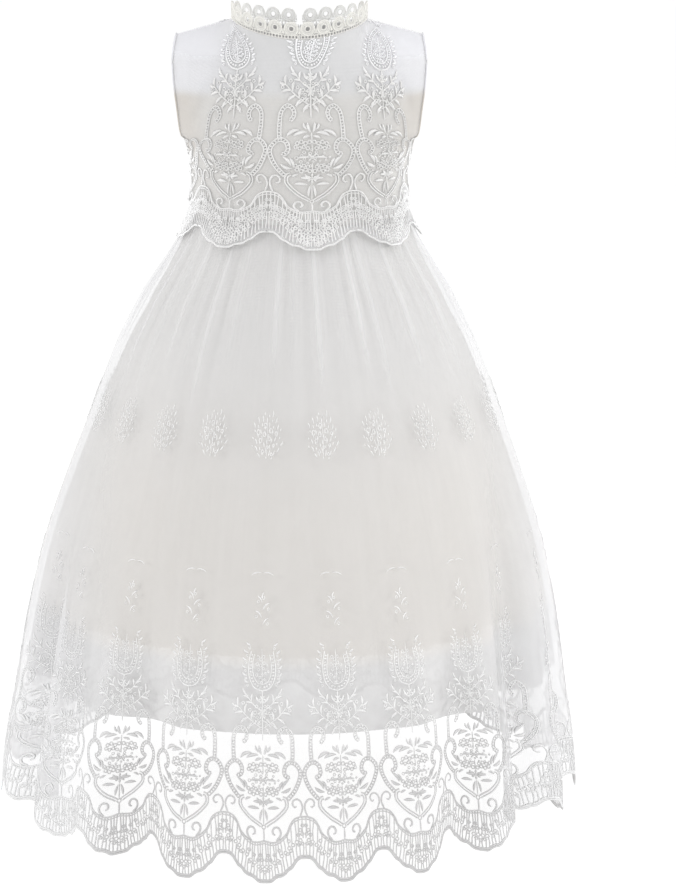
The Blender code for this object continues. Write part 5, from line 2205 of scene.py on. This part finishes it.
    def _embroidery(self, half: SkirtHalf) -> list[bpy.types.Object]:
        """Works the lace's chart into the net.

        Args:
            half: The front or the back.

        Returns:
            The embroidery, a piece for each of the chart's parts.
        """
        form = self.form
        turn = half.turns(self.lace_columns, self.worked_past_seam)
        rise = np.concatenate([np.linspace(*rows) for rows in self.worked_rows])[:, None]
        points, _, flat = self._lace_grid(turn, np.broadcast_to(rise, (len(rise), turn.size)))
        cloth = carrier("skirt_cloth", points, flat)
        settings = {
            "Repeats": round((half.last - half.first) * form.repeats), "First axis": half.first * form.cloth_width,
            "Pitch": form.pitch, "Cloth width": form.cloth_width, "Finish": self.finishes.skirt_thread,
        }
        chart = LaceChart(scallop_depth=form.scallop * 1000, drop_rows=6)
        worked = []
        for part, factor in self.boldness.items():
            place = {**settings, "Crowding": 0.0 if part == "hem_band" else form.crowding}
            strokes = getattr(chart, part)().bolder(factor)
            worked.append(Stitching().work(f"skirt_{part}_{half.name}", strokes, cloth, place))
        bpy.data.objects.remove(cloth)
        return worked


# ================================================================ fastening
@dataclass
class Fastening:
    """The pearly button at the back of the neck and its thread loop."""

    form: BodiceForm
    finishes: Finishes
    radius: float = 0.0045
    height: float = 0.0030
    drop: float = 0.0105
    side: float = 0.0062
    cloth_walls: float = 0.0030
    loop_radius: float = 0.0056
    loop_cord: float = 0.0012
    # where the loop's two legs bend, as shares of the way to the edge and of the loop's radius
    legs: tuple[Point, ...] = ((1.0, 0.45), (0.62, 0.88))
    # the loop's bend round the button: from one angle in degrees to another, and how many points
    bend: tuple = (80, 280, 21)
    strands: int = 3
    twists: int = 14
    twist_step: float = 0.00035
    # as shares of the cord: a strand's distance from the middle line, and half its width
    strand_reach: float = 0.24
    strand_half: float = 0.27
    button_sides: int = 40
    # the button's outline as shares of its radius and height
    outline: tuple[Point, ...] = (
        (0.0, 0.02), (0.55, 0.02), (0.92, 0.04), (1.0, 0.20), (0.985, 0.34), (0.90, 0.50), (0.86, 0.56),
        (0.80, 0.66), (0.62, 0.84), (0.36, 0.96), (0.0, 1.0),
    )

    def seat(self) -> tuple[Array, Array, Array]:
        """Finds the button's seat on the cloth, down from the neck.

        Returns:
            Where it is sewn on, the way out there, and the way up along the cloth.
        """
        place = self.form.top_place
        zero = np.zeros(1)
        while self.form.point(zero, zero + place, 1)[0, 2] > self.form.neckline(np.pi)[2] - self.drop:
            place -= 0.02
        out = self.form.way_out(zero, zero + place, 1)[0]
        spot = self.form.point(zero, zero + place, 1)[0] + out * self.cloth_walls
        spot[0] = -self.side
        return spot, out, unit(np.cross(out, np.array([1.0, 0.0, 0.0])))

    def build(self) -> None:
        """Makes the button and the loop."""
        self._button()
        self._loop()

    def _button(self) -> None:
        """Turns the button's outline about its axis."""
        spot, out, up = self.seat()
        sides = self.button_sides
        angles = 2 * np.pi * np.arange(sides) / sides
        across = np.array([1.0, 0.0, 0.0])
        spokes = across * np.cos(angles)[:, None] + up * np.sin(angles)[:, None]
        rings = [spot + spokes * wide * self.radius + out * tall * self.height for wide, tall in self.outline[1:-1]]
        points = [spot + out * self.outline[0][1] * self.height, *np.concatenate(rings), spot + out * self.height]
        faces = []
        last = len(points) - 1
        for i in range(sides):
            j = (i + 1) % sides
            faces.append((0, 1 + j, 1 + i))
            faces.append((last, last - sides + i, last - sides + j))
            for r in range(len(rings) - 1):
                low, high = 1 + r * sides, 1 + (r + 1) * sides
                faces.append((low + i, low + j, high + j, high + i))
        mesh = bpy.data.meshes.new("pearl_button")
        mesh.from_pydata([tuple(p) for p in points], [], faces)
        mesh.shade_smooth()
        dress(add_piece("pearl_button", mesh, self.finishes.pearl), ["button"])

    def _loop(self) -> None:
        """Twists the loop's strands round its route: from the left back's edge, round the button and back."""
        spot, out, up = self.seat()
        level = spot + out * self.loop_cord / 2
        end = self.side + self.form.slit_half_width + 2 * self.form.seam_gap
        feet, rises = np.array([end, 0, 0]), up * self.loop_radius
        route = [level + feet * share + rises * high for share, high in self.legs]
        for angle in np.radians(np.linspace(*self.bend)):
            route.append(level + self.loop_radius * (np.array([math.cos(angle), 0, 0]) + up * math.sin(angle)))
        route += [level + feet * share - rises * high for share, high in reversed(self.legs)]
        line = evenly([tuple(p) for p in route], self.twist_step)
        ahead = unit(np.gradient(line, axis=0))
        beside = unit(np.cross(ahead, out))
        vertices, polygons = [], []
        for strand in range(self.strands):
            angle = 2 * np.pi * (np.linspace(0, self.twists, len(line)) + strand / self.strands)
            reach = self.loop_cord * self.strand_reach
            path = line + reach * (beside * np.cos(angle)[:, None] + out * np.sin(angle)[:, None])
            mesh = tube_mesh("strand", path, self.loop_cord * self.strand_half, 6)
            base = len(vertices)
            vertices += [tuple(v.co) for v in mesh.vertices]
            polygons += [tuple(base + i for i in polygon.vertices) for polygon in mesh.polygons]
            bpy.data.meshes.remove(mesh)
        mesh = bpy.data.meshes.new("thread_loop")
        mesh.from_pydata(vertices, [], polygons)
        mesh.shade_smooth()
        dress(add_piece("thread_loop", mesh, self.finishes.thread), ["button_loop"])


# ================================================================ studio
@dataclass(frozen=True)
class Lamp:
    """A round soft lamp that points at the middle of the gown."""

    name: str
    place: tuple[float, float, float]
    size: float
    energy: float

    def hang(self) -> None:
        """Hangs the lamp."""
        data = bpy.data.lights.new(self.name, "AREA")
        data.shape = "DISK"
        data.size = self.size
        data.energy = self.energy
        lamp = bpy.data.objects.new(self.name, data)
        lamp.location = self.place
        way = np.array([0.0, 0.0, -0.30]) - np.array(self.place)
        lamp.rotation_euler = (math.atan2(math.hypot(way[0], way[1]), -way[2]), 0.0, math.atan2(-way[0], way[1]))
        bpy.context.scene.collection.objects.link(lamp)


@dataclass
class Studio:
    """The pale floor, the soft light and the camera."""

    floor_z: float = -0.6870
    floor_size: float = 60.0
    floor_colour: Colour = (0.30, 0.30, 0.30)
    floor_glow: float = 0.84
    camera_place: tuple[float, float, float] = (0.0, -2.600, 0.200)
    camera_tilt: float = math.radians(90 - 12.3)
    lens: float = 123.93
    shift_x: float = 0.0435
    world_colour: Colour = (0.99, 0.99, 1.0)
    world_strength: float = 0.57
    lamps: tuple[Lamp, ...] = (
        Lamp("left_lamp", (-2.20, -1.35, 0.60), 0.8, 24.5),
        Lamp("right_lamp", (2.30, -1.20, 0.50), 0.8, 24.5),
        Lamp("top_lamp", (0.0, -0.80, 2.20), 1.4, 11.0),
        Lamp("far_right_lamp", (2.10, 0.55, 1.50), 0.8, 18.0),
        Lamp("far_left_lamp", (-1.90, 1.00, 1.30), 0.8, 12.0),
    )

    def build(self) -> None:
        """Sets up everything that isn't the gown."""
        self._floor()
        self._light()
        self._camera()

    def _floor(self) -> None:
        """Lays the floor."""
        half = self.floor_size / 2
        mesh = bpy.data.meshes.new("floor")
        corners = [(-half, -half), (half, -half), (half, half), (-half, half)]
        mesh.from_pydata([(x, y, self.floor_z) for x, y in corners], [], [(0, 1, 2, 3)])
        made, _ = new_material("pale_floor", {
            "Base Color": rgba(self.floor_colour), "Roughness": 1.0, "Specular IOR Level": 0.0,
            "Emission Color": rgba((1.0, 1.0, 1.0)), "Emission Strength": self.floor_glow,
        })
        add_piece("floor", mesh, made)

    def _light(self) -> None:
        """Puts a bright white world round everything, with a soft lamp on each side."""
        scene = bpy.context.scene
        scene.world = bpy.data.worlds.new("studio")
        scene.world.use_nodes = True
        background = scene.world.node_tree.nodes["Background"]
        background.inputs["Color"].default_value = rgba(self.world_colour)
        background.inputs["Strength"].default_value = self.world_strength
        for lamp in self.lamps:
            lamp.hang()
        scene.view_settings.view_transform = "Standard"

    def _camera(self) -> None:
        """Sets the camera up in front, a little above the neck and tilted down."""
        data = bpy.data.cameras.new("camera")
        data.lens = self.lens
        data.sensor_width = 36.0
        data.shift_x = self.shift_x
        camera = bpy.data.objects.new("camera", data)
        camera.location = self.camera_place
        camera.rotation_euler = (self.camera_tilt, 0.0, 0.0)
        bpy.context.scene.collection.objects.link(camera)
        bpy.context.scene.camera = camera


def corners(box: tuple) -> list[list[float]]:
    """A box's two corners as plain lists."""
    return [[float(x) for x in corner] for corner in box]


def main() -> None:
    """Builds the gown piece by piece."""
    logging.basicConfig(level=logging.INFO, format="%(message)s")
    finishes = Finishes()
    bodice_form, skirt_form = BodiceForm(), SkirtForm()
    makers: list[Callable[[], None]] = [
        Studio().build,
        Skirt(skirt_form, finishes).build,
        NeckTrim(bodice_form, finishes).build,
        Bodice(bodice_form, skirt_form, finishes).build,
        Fastening(bodice_form, finishes).build,
    ]
    for make in makers:
        make()


if __name__ == "__main__":
    main()
